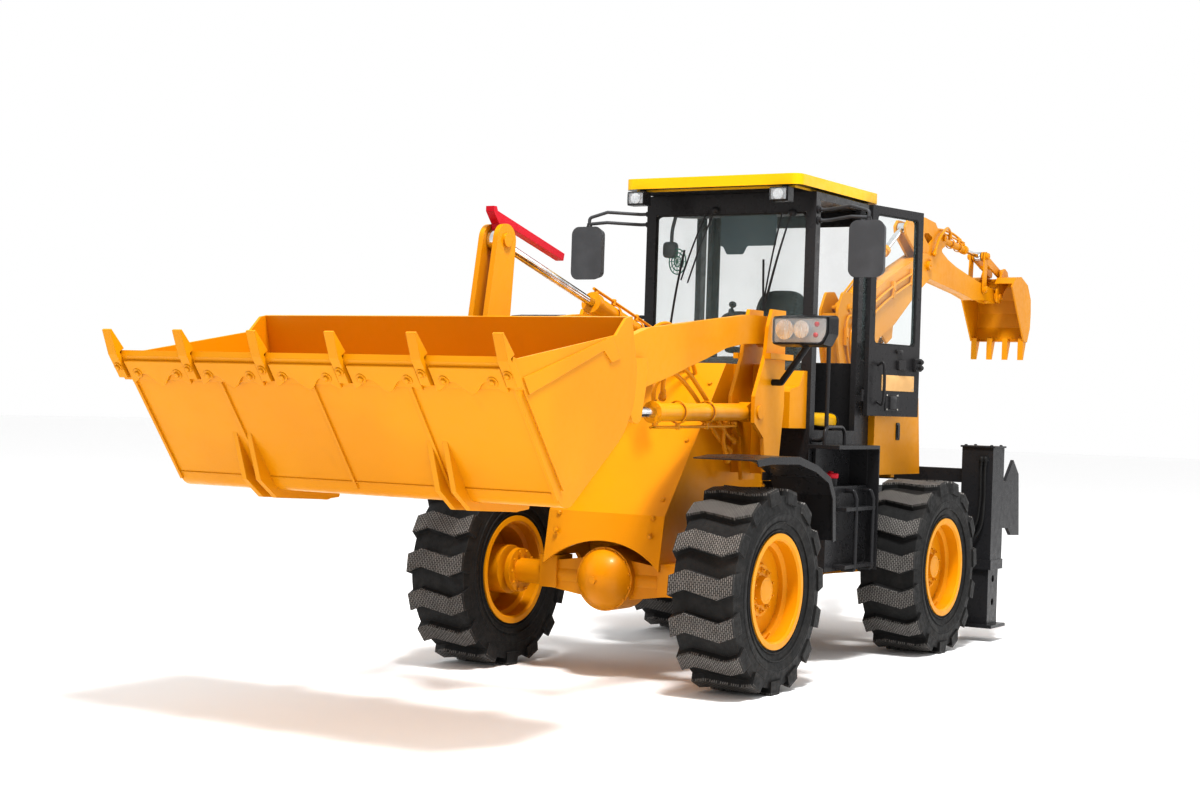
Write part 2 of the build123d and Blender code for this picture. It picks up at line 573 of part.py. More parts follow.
# ---- door, standing open against the rear of the cab ---------------------------------
swing = radians(DOOR_OPEN)
DOOR_T = 34
door_plane = Plane(origin=(HINGE[0], FRONT_AXLE_Y + HINGE[1], DOOR_LOW),
                   x_dir=(sin(swing), cos(swing), 0), z_dir=(cos(swing), -sin(swing), 0))
with BuildPart() as door_frame:
    with BuildSketch(door_plane.offset(-DOOR_T / 2 + 10)) as face:
        with Locations(((25 + DOOR_W) / 2, (DOOR_HIGH - DOOR_LOW) / 2)):
            Rectangle(DOOR_W - 25, DOOR_HIGH - DOOR_LOW)
            with Locations((0, 215)):
                RectangleRounded(DOOR_W - 25 - 120, 880, 30, mode=Mode.SUBTRACT)
    extrude(face.sketch, amount=DOOR_T)
    for low in HINGE_LOWS:
        with Locations((HINGE[0], FRONT_AXLE_Y + HINGE[1], low + KNUCKLE_H * 1.5 + FIT)):
            Cylinder(KNUCKLE_R, KNUCKLE_H)
    with BuildSketch(door_plane.offset(-4)) as flaps:
        for low in HINGE_LOWS:
            with Locations((20, low + KNUCKLE_H * 1.5 + FIT - DOOR_LOW)):
                Rectangle(40, KNUCKLE_H)
    extrude(flaps.sketch, amount=8)
write(door_frame, "door_frame")
with BuildPart() as door_glass:
    with BuildSketch(door_plane.offset(10 - GLASS_T / 2)) as face:
        with Locations(((25 + DOOR_W) / 2, (DOOR_HIGH - DOOR_LOW) / 2 + 215)):
            RectangleRounded(DOOR_W - 25 - 120 - 2 * FIT, 880 - 2 * FIT, 30)
    extrude(face.sketch, amount=GLASS_T)
write(door_glass, "door_glass")

# ---- loader --------------------------------------------------------------------------
with BuildPart() as loader_boom:
    arm = (
        (700, 2195), (440, 2190), (-755, 2050), (-1100, 1950), (-1480, 1640),
        (-1944, 1238), (-2076, 1102), (-1950, 1085), (-1600, 1240), (-1150, 1480),
        (-1010, 1625), (-960, 1670), (-767, 1725), (-501, 1788), (-272, 1855), (-82, 1904),
        (175, 1979), (392, 2012), (700, 2025),
    )
    pair(arm, ARM_X - ARM_T / 2, ARM_X + ARM_T / 2)
    for hand in (1, -1):
        x = sorted((hand * (ARM_X - ARM_T / 2), hand * (ARM_X + ARM_T / 2)))
        bar(BOOM_PIVOT, 95, *x)
        bar(BUCKET_PIN, 95, *x)
        link(LIFT_EYE, (-905, 1700), 70, 75, hand * ARM_X - 39, hand * ARM_X + 39, Mode.SUBTRACT)
        for ear in (-62, 40):
            link(LIFT_EYE, (-905, 1790), 60, 90, hand * ARM_X + ear, hand * ARM_X + ear + 22)
        for ear in (-62, 25):
            plate(
                ((-1000, 1800), (-810, 1800), (-830, 1880), (-980, 1880)),
                hand * ARM_X + ear, hand * ARM_X + ear + 37,
            )
        bar(BOOM_PIVOT, 40 + FIT, x[0] - 1, x[1] + 1, Mode.SUBTRACT)
        bar(BUCKET_PIN, 35 + FIT, x[0] - 1, x[1] + 1, Mode.SUBTRACT)
    bar(CROSS_TUBE, 80, -ARM_X, ARM_X)
    outer = ROCKER_IN + ROCKER_T + GAP
    for low, high in ((outer, outer + 30), (-outer - 30, -outer)):
        link(CROSS_TUBE, ROCKER_PIN, 80, 70, low, high)
    bar(ROCKER_PIN, 30, -outer - 40, outer + 40)
write(loader_boom, "loader_boom")

with BuildPart() as rocker:
    for low, high in ((ROCKER_IN, ROCKER_IN + ROCKER_T), (-ROCKER_IN - ROCKER_T, -ROCKER_IN)):
        link(ROCKER_TOP, ROCKER_PIN, 88, 120, low, high)
        link(ROCKER_PIN, ROCKER_LOW, 120, 75, low, high)
        cap = (high, high + 12) if high > 0 else (low - 12, low)
        bar(ROCKER_TOP, 38, *cap)
    bar(ROCKER_PIN, 90, -ROCKER_IN, ROCKER_IN)
    bar(ROCKER_PIN, 30 + FIT, -200, 200, Mode.SUBTRACT)
    bar(ROCKER_LOW, 30, -ROCKER_IN, ROCKER_IN)
write(rocker, "rocker")

with BuildPart() as bucket_link:
    link(ROCKER_LOW, BUCKET_LINK_PIN, 70, 65, -ROCKER_IN + GAP, ROCKER_IN - GAP)
    bar(ROCKER_LOW, 30 + FIT, -ROCKER_IN, ROCKER_IN, Mode.SUBTRACT)
write(bucket_link, "bucket_link")

roll = radians(BUCKET_ROLL)
WEAR_W, WEAR_T = 16, 10         # bars along the bucket's bottom
bucket_plane = Plane(
    origin=(-EDGE_HALF, FRONT_AXLE_Y + BUCKET_HEEL[0], BUCKET_HEEL[1]),
    x_dir=(0, cos(roll), -sin(roll)), z_dir=(1, 0, 0))


def bucket_point(place):
    """A place in the side view, from one in the bucket's own upright drawing."""
    return (
        BUCKET_HEEL[0] + place[0] * cos(roll) + place[1] * sin(roll),
        BUCKET_HEEL[1] - place[0] * sin(roll) + place[1] * cos(roll),
    )


with BuildPart() as loader_bucket:
    low = EDGE_HALF - BUCKET_HALF
    with BuildSketch(bucket_plane.offset(low)) as face:
        with BuildLine():
            Polyline((-830, 0), (-60, 0))
            TangentArc((-60, 0), (30, 90), tangent=(1, 0))
            Line((30, 90), (30, 560))
            TangentArc((30, 560), (-200, 930), tangent=(0, 1))
            Polyline((-200, 930), (-375, 1003), (-407, 1020), (-432, 965), (-415, 841), (-830, 0))
        make_face()
    extrude(face.sketch, amount=2 * BUCKET_HALF)
    with BuildSketch(bucket_plane.offset(low + BUCKET_WALL)) as face:
        with BuildLine():
            Polyline((-900, BUCKET_WALL), (-60, BUCKET_WALL))
            TangentArc((-60, BUCKET_WALL), (30 - BUCKET_WALL, 90), tangent=(1, 0))
            Line((30 - BUCKET_WALL, 90), (30 - BUCKET_WALL, 560))
            TangentArc((30 - BUCKET_WALL, 560), (-206, 915), tangent=(0, 1))
            Polyline((-206, 915), (-480, 1020), (-900, BUCKET_WALL))
        make_face()
    extrude(face.sketch, amount=2 * (BUCKET_HALF - BUCKET_WALL), mode=Mode.SUBTRACT)
    for share in (-1, -0.5, 0, 0.5, 1):
        wear_x = EDGE_HALF + share * (BUCKET_HALF - WEAR_W / 2) - WEAR_W / 2
        with BuildSketch(bucket_plane.offset(wear_x)) as face:
            with BuildLine():
                Polyline((-690, -WEAR_T), (-60, -WEAR_T), (-60, 1), (-690, 1), close=True)
            make_face()
        extrude(face.sketch, amount=WEAR_W)
    for x_in in (-6, 2 * BUCKET_HALF - BUCKET_WALL + 6):
        with BuildSketch(bucket_plane.offset(low + x_in)) as face:
            with BuildLine():
                Polyline(
                    (-700, 60), (-435, 800), (-300, 810), (-330, 730), (-420, 700), (-610, 60),
                    close=True,
                )
            make_face()
        extrude(face.sketch, amount=BUCKET_WALL)
    for hand in (1, -1):
        for inner in (ARM_X - ARM_T / 2 - 6 - 30, ARM_X + ARM_T / 2 + 6):
            ends = sorted((hand * inner, hand * (inner + 30)))
            plate((
                bucket_point((24, 560)), bucket_point((120, 560)), (BUCKET_PIN[0] + 90, BUCKET_PIN[1] + 30),
                (BUCKET_PIN[0] + 60, BUCKET_PIN[1] - 80), (BUCKET_PIN[0] - 60, BUCKET_PIN[1] - 90),
                bucket_point((20, -20)), bucket_point((-130, -70)), bucket_point((-380, 2)),
                bucket_point((-60, 8)), bucket_point((24, 90)),
            ), *ends)
        bar(BUCKET_PIN, 35, *sorted((hand * (ARM_X - 62), hand * (ARM_X + 62))))
    for ends in ((ROCKER_IN + GAP, ROCKER_IN + GAP + 30), (-ROCKER_IN - GAP - 30, -ROCKER_IN - GAP)):
        plate((
            bucket_point((30, 480)), bucket_point((0, 700)),
            (BUCKET_LINK_PIN[0] + 40, BUCKET_LINK_PIN[1] + 60),
            (BUCKET_LINK_PIN[0] + 70, BUCKET_LINK_PIN[1]),
            (BUCKET_LINK_PIN[0] + 20, BUCKET_LINK_PIN[1] - 65),
        ), *ends)
write(loader_bucket, "loader_bucket")

TEETH, TOOTH_W = 6, 55
TOOTH = (  # in the bucket's own drawing: bolted under the edge and ending in a wedge past it
    (-705, -20), (-857, -20), (-857, 14), (-985, -4), (-985, -14), (-860, -46), (-720, -46),
)
with BuildPart() as cutting_edge:
    with BuildSketch(bucket_plane) as face:
        with BuildLine():
            Polyline(
                (-855, 0), (-830, BUCKET_WALL + 6), (-830, 0), (-690, 0), (-690, -20), (-835, -20),
                close=True,
            )
        make_face()
    extrude(face.sketch, amount=2 * EDGE_HALF)
    for n in range(TEETH):
        x = n * (2 * EDGE_HALF - TOOTH_W) / (TEETH - 1)
        with BuildSketch(bucket_plane.offset(x)) as face:
            with BuildLine():
                Polyline(*TOOTH, close=True)
            make_face()
        extrude(face.sketch, amount=TOOTH_W)
write(cutting_edge, "cutting_edge")

LIFT_LEN, LIFT_R, LIFT_ROD = 1150, 57, 30
with BuildPart() as lift_barrels:
    for hand in (1, -1):
        barrel(hand * ARM_X, LIFT_BASE, LIFT_EYE, LIFT_R - 5, LIFT_ROD, LIFT_LEN, 60, 38, 70)
write(lift_barrels, "lift_barrels")
with BuildPart() as lift_rods:
    for hand in (1, -1):
        piston_rod(hand * ARM_X, LIFT_BASE, LIFT_EYE, LIFT_ROD, 270, 50, 34)
write(lift_rods, "lift_rods")

TILT_LEN, TILT_R, TILT_ROD = 950, 55, 26
with BuildPart() as tilt_barrel:
    barrel(0, TILT_BASE, ROCKER_TOP, TILT_R, TILT_ROD, TILT_LEN, 58, 35, 95)
write(tilt_barrel, "tilt_barrel")
with BuildPart() as tilt_rod:
    piston_rod(0, TILT_BASE, ROCKER_TOP, TILT_ROD, 700, 60, 29)
write(tilt_rod, "tilt_rod")
with BuildPart() as level_marker:
    plate((
        (-1420, 2640), (-1420, 2668), (-1390, 2668), (-1380, 2645), (-700, 2470), (-710, 2430),
        (-1300, 2580),
        (-1320, 2560), (-1350, 2560),
    ), -25, 25)
    plate(((-1365, 2530), (-1315, 2530), (-1315, 2575), (-1365, 2575)), -25, 25)
    bar(ROCKER_TOP, 60, -30, 30, Mode.SUBTRACT)
write(level_marker, "level_marker")

# ---- backhoe -------------------------------------------------------------------------
END_PLATE = (
    (3960, 1130), (4141, 1304), (4264, 1197), (4307, 732), (4127, 739), (4055, 794), (3900, 801),
)
with BuildPart() as hoe_frame:
    for low in (RAIL_LOW, RAIL_HIGH):
        block((-LEG_OUT + LEG, LEG_OUT - LEG), (RAIL_Y, RAIL_Y + RAIL_D), (low, low + RAIL_H))
    blocks(LEG_OUT - LEG, LEG_OUT, (LEG_Y, LEG_Y + LEG), (LEG_LOW, LEG_TOP))
    blocks(LEG_OUT - LEG + 12, LEG_OUT - 12, (LEG_Y + 12, LEG_Y + LEG - 12),
           (LEG_LOW - 1, LEG_TOP - 12), Mode.SUBTRACT)
    for hand in (1, -1):
        middle = hand * (LEG_OUT - LEG / 2)
        inner, outer = LEG / 2 - 17 + FIT, LEG / 2 + 8
        block((middle - outer, middle + outer), (LEG_Y - 8, LEG_Y + LEG + 8), (LEG_LOW - 30, LEG_LOW + 40))
        block((middle - inner, middle + inner), (LEG_Y + 17 - FIT, LEG_Y + LEG - 17 + FIT),
              (LEG_LOW - 31, LEG_LOW + 41), Mode.SUBTRACT)
    blocks(
        LEG_OUT - 150, LEG_OUT - 50,
        (LEG_Y + LEG - 1, LEG_Y + LEG + 335), (RAIL_LOW + 110, RAIL_HIGH + 10),
    )
    pair(END_PLATE, LEG_OUT - 112, LEG_OUT - 88)
    blocks(REAR_HALF - CHASSIS_T, REAR_HALF, (RAIL_Y, RAIL_Y + 40), (RAIL_LOW + RAIL_H, RAIL_HIGH))
write(hoe_frame, "hoe_frame")

for name, hand in (("stabiliser_left", 1), ("stabiliser_right", -1)):
    with BuildPart() as stabiliser:
        middle = hand * (LEG_OUT - LEG / 2)
        half = LEG / 2 - 12 - 5
        block((middle - half, middle + half), (LEG_Y + 17, LEG_Y + LEG - 17), (FOOT_Z + 22, LEG_TOP - 60))
        block((middle - half + 14, middle + half - 14), (LEG_Y + 31, LEG_Y + LEG - 31),
              (FOOT_Z + 21, LEG_TOP - 59), Mode.SUBTRACT)
        block((middle - 150, middle + 150), (LEG_Y - 30, LEG_Y + LEG + 30), (FOOT_Z, FOOT_Z + 22))
        for z in (280, 450):
            bar((LEG_Y + LEG / 2, z), 25, middle - 200, middle + 200, Mode.SUBTRACT)
    write(stabiliser, name)

CARRIAGE_Y = RAIL_Y + RAIL_D + GAP
with BuildPart() as hoe_carriage:
    block(
        (HOE_X - 250, HOE_X + 250),
        (CARRIAGE_Y, CARRIAGE_Y + 40), (RAIL_LOW - 45, RAIL_HIGH + RAIL_H + 45),
    )
    for low in (RAIL_LOW - 40 - FIT, RAIL_HIGH + RAIL_H + FIT):
        block((HOE_X - 250, HOE_X + 250), (RAIL_Y - 5, CARRIAGE_Y), (low, low + 40))
    for low in (680, 1195):
        with BuildSketch(Plane.XY.offset(low)) as ear:
            with Locations((HOE_X, FRONT_AXLE_Y + SLEW_Y)):
                Circle(105)
            with Locations((HOE_X, FRONT_AXLE_Y + CARRIAGE_Y + 30)):
                Rectangle(360, 20)
            make_hull()
            with Locations((HOE_X, FRONT_AXLE_Y + SLEW_Y)):
                Circle(45 + FIT, mode=Mode.SUBTRACT)
        extrude(ear.sketch, amount=45)
write(hoe_carriage, "hoe_carriage")

with BuildPart() as hoe_kingpost:
    with Locations((HOE_X, FRONT_AXLE_Y + SLEW_Y, (730 + 1190) / 2)):
        Cylinder(85, 460)
    with Locations((HOE_X, FRONT_AXLE_Y + SLEW_Y, (660 + 1270) / 2)):
        Cylinder(45, 610)
    plate(((SLEW_Y, 740), (SLEW_Y + 150, 740), (4120, 900), (4200, 1330), (4200, 1430), (4090, 1430),
           (3985, 1300), (SLEW_Y + 115, 1245), (SLEW_Y + 115, 1185), (SLEW_Y, 1185)), HOE_X - 60, HOE_X + 60)
    for low in (HOE_X - HOE_HALF - 5 - 30, HOE_X + HOE_HALF + 5):
        plate(((SLEW_Y - 60, 1250), (4120, 1250), (4110, 1560), (4060, 1650), (3920, 1650), (3870, 1560)),
              low, low + 30)
    block((HOE_X - HOE_HALF - 35, HOE_X + HOE_HALF + 35), (SLEW_Y - 60, 4080), (1247, 1290))
    bar(HOE_FOOT, 38, HOE_X - HOE_HALF - 45, HOE_X + HOE_HALF + 45)
    plate(((4080, 1305), (4220, 1305), (4220, 1450), (4080, 1450)), HOE_X - 41, HOE_X + 41, Mode.SUBTRACT)
    bar(HOE_RAM_BASE, 42 * EYE_BORE - FIT, HOE_X - 60, HOE_X + 60)
write(hoe_kingpost, "hoe_kingpost")

with BuildPart() as hoe_boom:
    outline = (
        (3880, 1570), (3690, 1880), (3595, 2170), (3590, 2400), (3680, 2545), (3830, 2555),
        (3960, 2455), (4500, 2700), (5300, 2985), (5485, 2935), (5480, 2800), (5140, 2625),
        (4700, 2350), (4400, 2225), (4180, 1950), (4090, 1600),
    )
    for low in (HOE_X - HOE_HALF, HOE_X + HOE_HALF - HOE_PLATE):
        plate(outline, low, low + HOE_PLATE, soften=45)
    plate(((3710, 1900), (3618, 2180), (3618, 2380), (3640, 2380), (3640, 2185), (3732, 1900)),
          HOE_X - HOE_HALF, HOE_X + HOE_HALF)
    plate(((3980, 2454), (4500, 2700), (5150, 2931), (5150, 2911), (4505, 2680), (3980, 2430)),
          HOE_X - HOE_HALF, HOE_X + HOE_HALF)
    plate(((4830, 2430), (5140, 2625), (5140, 2650), (4830, 2455)),
          HOE_X - HOE_HALF, HOE_X + HOE_HALF)
    bar(HOE_FOOT, 100, HOE_X - HOE_HALF, HOE_X + HOE_HALF)
    bar(DIPPER_RAM_BASE, 42 * EYE_BORE - FIT, HOE_X - HOE_HALF, HOE_X + HOE_HALF)
    bar(HOE_TIP, 100, HOE_X - HOE_HALF, HOE_X - HOE_HALF + HOE_PLATE)
    bar(HOE_TIP, 100, HOE_X + HOE_HALF - HOE_PLATE, HOE_X + HOE_HALF)
    bar(HOE_FOOT, 38 + FIT, HOE_X - 200, HOE_X + 200, Mode.SUBTRACT)
    bar(HOE_TIP, 32 + FIT, HOE_X - 200, HOE_X + 200, Mode.SUBTRACT)
    for low in (HOE_X - 41 - HOE_PLATE, HOE_X + 41):
        plate(((4500, 2260), (4600, 2190), (4700, 2240), (4720, 2370), (4500, 2280)), low, low + HOE_PLATE)
write(hoe_boom, "hoe_boom")

DIPPER_HALF = HOE_HALF - HOE_PLATE - 5
with BuildPart() as hoe_dipper:
    outline = (
        (5310, 2800), (5290, 2900), (4950, 3105), (4930, 3175), (4990, 3228), (5174, 3225),
        (5341, 3285), (5585, 3262), (5660, 3205), (5790, 3215), (5860, 3150), (5820, 3080),
        (5720, 3040), (5900, 2972), (6100, 2925), (6610, 2842), (7090, 2790), (7158, 2726),
        (7090, 2664), (6870, 2682), (6545, 2662), (6293, 2700), (5478, 2780),
    )
    for low in (HOE_X - DIPPER_HALF, HOE_X + DIPPER_HALF - HOE_PLATE):
        plate(outline, low, low + HOE_PLATE, soften=18)
    plate(((5478, 2782), (6293, 2702), (6545, 2664), (6870, 2684), (6870, 2704), (6545, 2684),
           (6295, 2722), (5480, 2802)), HOE_X - DIPPER_HALF, HOE_X + DIPPER_HALF)
    plate(((6100, 2922), (6610, 2840), (6612, 2820), (6100, 2902)),
          HOE_X - DIPPER_HALF, HOE_X + DIPPER_HALF)
    plate(((5304, 3145), (5430, 3160), (5548, 3125), (5455, 3055)),
          HOE_X - HOE_HALF, HOE_X + HOE_HALF, Mode.SUBTRACT, 18)
    bar(HOE_TIP, 60, HOE_X - DIPPER_HALF, HOE_X + DIPPER_HALF)
    bar(HOE_TIP, 32, HOE_X - HOE_HALF - 12, HOE_X + HOE_HALF + 12)
    bar(DIPPER_END, 60, HOE_X - DIPPER_HALF, HOE_X + DIPPER_HALF)
    bar(DIPPER_END, 28 + FIT, HOE_X - 200, HOE_X + 200, Mode.SUBTRACT)
    bar(CURL_BASE, 42 * EYE_BORE - FIT, HOE_X - DIPPER_HALF, HOE_X + DIPPER_HALF)
    bar(LINK_FOOT, 20, HOE_X - DIPPER_HALF - 24, HOE_X + DIPPER_HALF + 24)
write(hoe_dipper, "hoe_dipper")

EAR_IN, EAR_T = 80, 20
with BuildPart() as hoe_bucket:
    inner, outer = HOE_BUCKET_HALF - 14, HOE_BUCKET_HALF
    plate((
        (7335, 2330), (7420, 2326), (7488, 2459), (7500, 2593), (7490, 2725), (7398, 2852),
        (7213, 2918), (7060, 2900), (6975, 2815),
    ), HOE_X - outer, HOE_X + outer, soften=10)
    plate((
        (7200, 2300), (7406, 2340), (7470, 2463), (7482, 2593), (7473, 2718), (7388, 2835),
        (7213, 2898), (7068, 2882), (6900, 2780),
    ), HOE_X - inner, HOE_X + inner, Mode.SUBTRACT)
    block((HOE_X - EAR_IN, HOE_X + EAR_IN), (6960, 7255), (2740, 2925), Mode.SUBTRACT)
    for low in (HOE_X - EAR_IN - EAR_T, HOE_X + EAR_IN):
        plate(((7040, 2680), (7120, 2672), (7200, 2780), (7340, 2868), (7290, 2965), (7215, 2995),
               (7160, 2960), (7030, 2780)), low, low + EAR_T, soften=15)
    for low in (HOE_X - EAR_IN, HOE_X + DIPPER_HALF + 5):
        for place in (DIPPER_END, HOE_BUCKET_PIN):
            bar(place, 42, low, low + EAR_IN - DIPPER_HALF - 5)
    bar(DIPPER_END, 28, HOE_X - EAR_IN - EAR_T - 15, HOE_X + EAR_IN + EAR_T + 15)
    for n in range(4):
        x = HOE_X - HOE_BUCKET_HALF + 35 + n * (2 * HOE_BUCKET_HALF - 70) / 3
        plate(
            ((7340, 2360), (7425, 2350), (7405, 2290), (7352, 2160), (7336, 2160), (7335, 2290)),
            x - 25, x + 25,
        )
write(hoe_bucket, "hoe_bucket")

with BuildPart() as hoe_guide_link:
    for low in (HOE_X - DIPPER_HALF - 19, HOE_X + DIPPER_HALF + 5):
        link(LINK_FOOT, LINK_TOP, 40, 40, low, low + 14)
        bar(LINK_FOOT, 20 + FIT, low - 1, low + 15, Mode.SUBTRACT)
    bar(LINK_TOP, 22, HOE_X - DIPPER_HALF - 30, HOE_X - 34)
    bar(LINK_TOP, 22, HOE_X + 34, HOE_X + DIPPER_HALF + 30)
write(hoe_guide_link, "hoe_guide_link")
with BuildPart() as hoe_push_link:
    for low in (HOE_X - 52, HOE_X + 34):
        link(LINK_TOP, HOE_BUCKET_PIN, 40, 38, low, low + 18)
    bar(LINK_TOP, 22 + FIT, HOE_X - 100, HOE_X + 100, Mode.SUBTRACT)
    block((HOE_X - 52, HOE_X + 52), (6960, 7060), (2975, 3005))
write(hoe_push_link, "hoe_push_link")

HOE_RAMS = (  # name, base, eye, barrel radius, rod radius, barrel length, rod's inner end
    ("hoe_boom", HOE_RAM_BASE, HOE_RAM_EYE, 48, 28, 640, 350),
    ("hoe_dipper", DIPPER_RAM_BASE, DIPPER_RAM_EYE, 45, 25, 1000, 300),
    ("hoe_curl", CURL_BASE, LINK_TOP, 38, 20, 640, 300),
)
for name, base, eye, ram_r, rod_r, length, begin in HOE_RAMS:
    with BuildPart() as ram:
        barrel(HOE_X, base, eye, ram_r - 8, rod_r, length, 42, 28, 75)
    write(ram, f"{name}_barrel")
    with BuildPart() as ram_rod:
        piston_rod(HOE_X, base, eye, rod_r, begin, 40, 27)
    write(ram_rod, f"{name}_rod")
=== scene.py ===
import json
import math
import bmesh
import bpy
import numpy as np
from mathutils import Matrix, Vector


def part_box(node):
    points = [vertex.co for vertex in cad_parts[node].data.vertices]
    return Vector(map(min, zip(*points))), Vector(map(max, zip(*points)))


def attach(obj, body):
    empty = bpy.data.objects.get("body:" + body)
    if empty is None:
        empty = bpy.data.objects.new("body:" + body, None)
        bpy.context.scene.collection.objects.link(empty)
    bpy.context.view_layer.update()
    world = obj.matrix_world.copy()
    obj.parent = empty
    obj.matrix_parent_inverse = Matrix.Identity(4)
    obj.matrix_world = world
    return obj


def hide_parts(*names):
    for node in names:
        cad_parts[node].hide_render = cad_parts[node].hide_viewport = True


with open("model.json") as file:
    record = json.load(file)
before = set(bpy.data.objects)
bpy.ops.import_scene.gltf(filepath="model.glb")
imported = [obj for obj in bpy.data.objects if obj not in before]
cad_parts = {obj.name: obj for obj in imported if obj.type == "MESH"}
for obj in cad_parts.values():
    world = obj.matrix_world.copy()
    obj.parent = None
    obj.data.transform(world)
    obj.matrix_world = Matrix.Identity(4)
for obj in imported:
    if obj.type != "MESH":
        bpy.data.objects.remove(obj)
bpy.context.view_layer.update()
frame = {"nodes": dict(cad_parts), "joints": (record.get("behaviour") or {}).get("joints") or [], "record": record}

NODES = frame["nodes"]
JOINTS = {joint["name"]: joint for joint in frame["joints"]}


# ---- node trees
class Finish:
    """A material under construction: short calls add a node and join it up."""

    def __init__(self, name):
        self.material = bpy.data.materials.new(name)
        self.material.use_nodes = True
        self.tree = self.material.node_tree
        self.shader = self.tree.nodes["Principled BSDF"]
        self.place = self.tree.nodes.new("ShaderNodeTexCoord").outputs["Object"]

    def node(self, kind, settings=(), **inputs):
        """A new node, its settings and its sockets, where _ in a socket's name stands for a space."""
        made = self.tree.nodes.new(kind)
        for key, value in settings:
            setattr(made, key, value)
        for key, value in inputs.items():
            self.feed(made.inputs[key.replace("_", " ")], value)
        return made

    def feed(self, socket, value):
        """Links a socket, or sets it to a constant."""
        if isinstance(value, bpy.types.NodeSocket):
            self.tree.links.new(value, socket)
        else:
            socket.default_value = value

    def noise(self, scale, detail=3.0, stretch=None):
        """Fractal noise over the piece's own space, stretched by dividing each axis."""
        place = self.place
        if stretch:
            place = self.node("ShaderNodeMapping", Vector=place, Scale=stretch).outputs["Vector"]
        return self.node("ShaderNodeTexNoise", Vector=place, Scale=scale, Detail=detail).outputs["Fac"]

    def ramp(self, value, low, high, to_low=0.0, to_high=1.0):
        """The value carried smoothly from one range to another and held at its ends."""
        made = self.node("ShaderNodeMapRange", (("interpolation_type", "SMOOTHSTEP"),), Value=value)
        for index, limit in enumerate((low, high, to_low, to_high), start=1):
            made.inputs[index].default_value = limit
        return made.outputs["Result"]

    def math(self, operation, first, second=0.0, third=0.0):
        """One sum over up to three values."""
        made = self.node("ShaderNodeMath", (("operation", operation),))
        for index, value in enumerate((first, second, third)):
            self.feed(made.inputs[index], value)
        return made.outputs["Value"]

    def mix(self, share, first, second):
        """Two colours mixed by a share."""
        made = self.node("ShaderNodeMix", (("data_type", "RGBA"),))
        self.feed(made.inputs[0], share)
        self.feed(made.inputs[6], first)
        self.feed(made.inputs[7], second)
        return made.outputs[2]

    def worn_edge(self, radius):
        """How far a rounded normal leans from the true one: near 1 at a sharp edge."""
        rounded = self.node("ShaderNodeBevel", (("samples", 4),), Radius=radius).outputs["Normal"]
        true = self.node("ShaderNodeNewGeometry").outputs["Normal"]
        lean = self.node("ShaderNodeVectorMath", (("operation", "DOT_PRODUCT"),))
        self.feed(lean.inputs[0], rounded)
        self.feed(lean.inputs[1], true)
        return rounded, self.math("SUBTRACT", 1.0, lean.outputs["Value"])

    def facing_up(self):
        """The world normal's upward part, from -1 below to 1 on top."""
        normal = self.node("ShaderNodeNewGeometry").outputs["Normal"]
        return self.node("ShaderNodeSeparateXYZ", Vector=normal).outputs["Z"]

    def bump(self, height, strength, distance, normal=None):
        """A normal tilted by a height, on top of another normal if one is given."""
        made = self.node("ShaderNodeBump", Height=height, Strength=strength, Distance=distance)
        if normal:
            self.feed(made.inputs["Normal"], normal)
        return made.outputs["Normal"]

    def end(self, **inputs):
        """Feeds the shader's sockets and gives the material."""
        for key, value in inputs.items():
            self.feed(self.shader.inputs[key.replace("_", " ")], value)
        return self.material


def enamel(name, colour, shade, rough=0.34, coat=0.08, chips=0.8, under=False):
    """Sprayed machine enamel: slight drift of colour, dark up-and-down streaks of painted reflection, orange peel,
    dust on top, chipped edges, and, with under set, painted shade that turns downward faces near black.
    """
    f = Finish(name)
    drift = f.ramp(f.noise(1.3, 2.0), 0.35, 0.7)
    paint = f.mix(f.math("MULTIPLY", drift, 0.55), (*colour, 1), (*shade, 1))
    # painted reflection: dark streaks stretched up and down, mixed toward a deeper tone of the paint
    painted_reflection_streaks = f.ramp(f.noise(9.0, 4.0, (1.0, 1.0, 0.12)), 0.58, 0.85, 0.0, 0.12)
    paint = f.mix(painted_reflection_streaks, paint, (*[c * 0.6 for c in shade], 1))
    settled = f.ramp(f.noise(6.0, 6.0), 0.5, 0.8, 0.0, 0.10)
    dust = f.math("MULTIPLY", f.ramp(f.facing_up(), 0.6, 1.0), settled)
    paint = f.mix(dust, paint, (0.50, 0.42, 0.32, 1))
    rounded, edge = f.worn_edge(0.004)
    if chips:
        spots = f.ramp(f.noise(38.0, 5.0), 0.64, 0.70, 0.0, chips)
        chipped = f.math("MULTIPLY", f.ramp(edge, 0.05, 0.2), spots)
        paint = f.mix(chipped, paint, (0.13, 0.10, 0.085, 1))
    # painted shade: faces that look downward are turned near black
    if under:
        paint = f.mix(f.ramp(f.facing_up(), -0.6, -0.3), (0.012, 0.012, 0.013, 1), paint)
    gloss = f.ramp(f.noise(22.0, 4.0), 0.3, 0.75, rough - 0.06, rough + 0.12)
    peel = f.bump(f.noise(260.0, 2.0), 0.08, 0.002, rounded)
    waves = f.bump(f.noise(3.2, 1.0), 0.12, 0.01, peel)
    return f.end(
        Base_Color=paint, Roughness=gloss, Normal=waves,
        Specular_IOR_Level=0.20, Coat_Weight=coat, Coat_Roughness=0.12,
    )


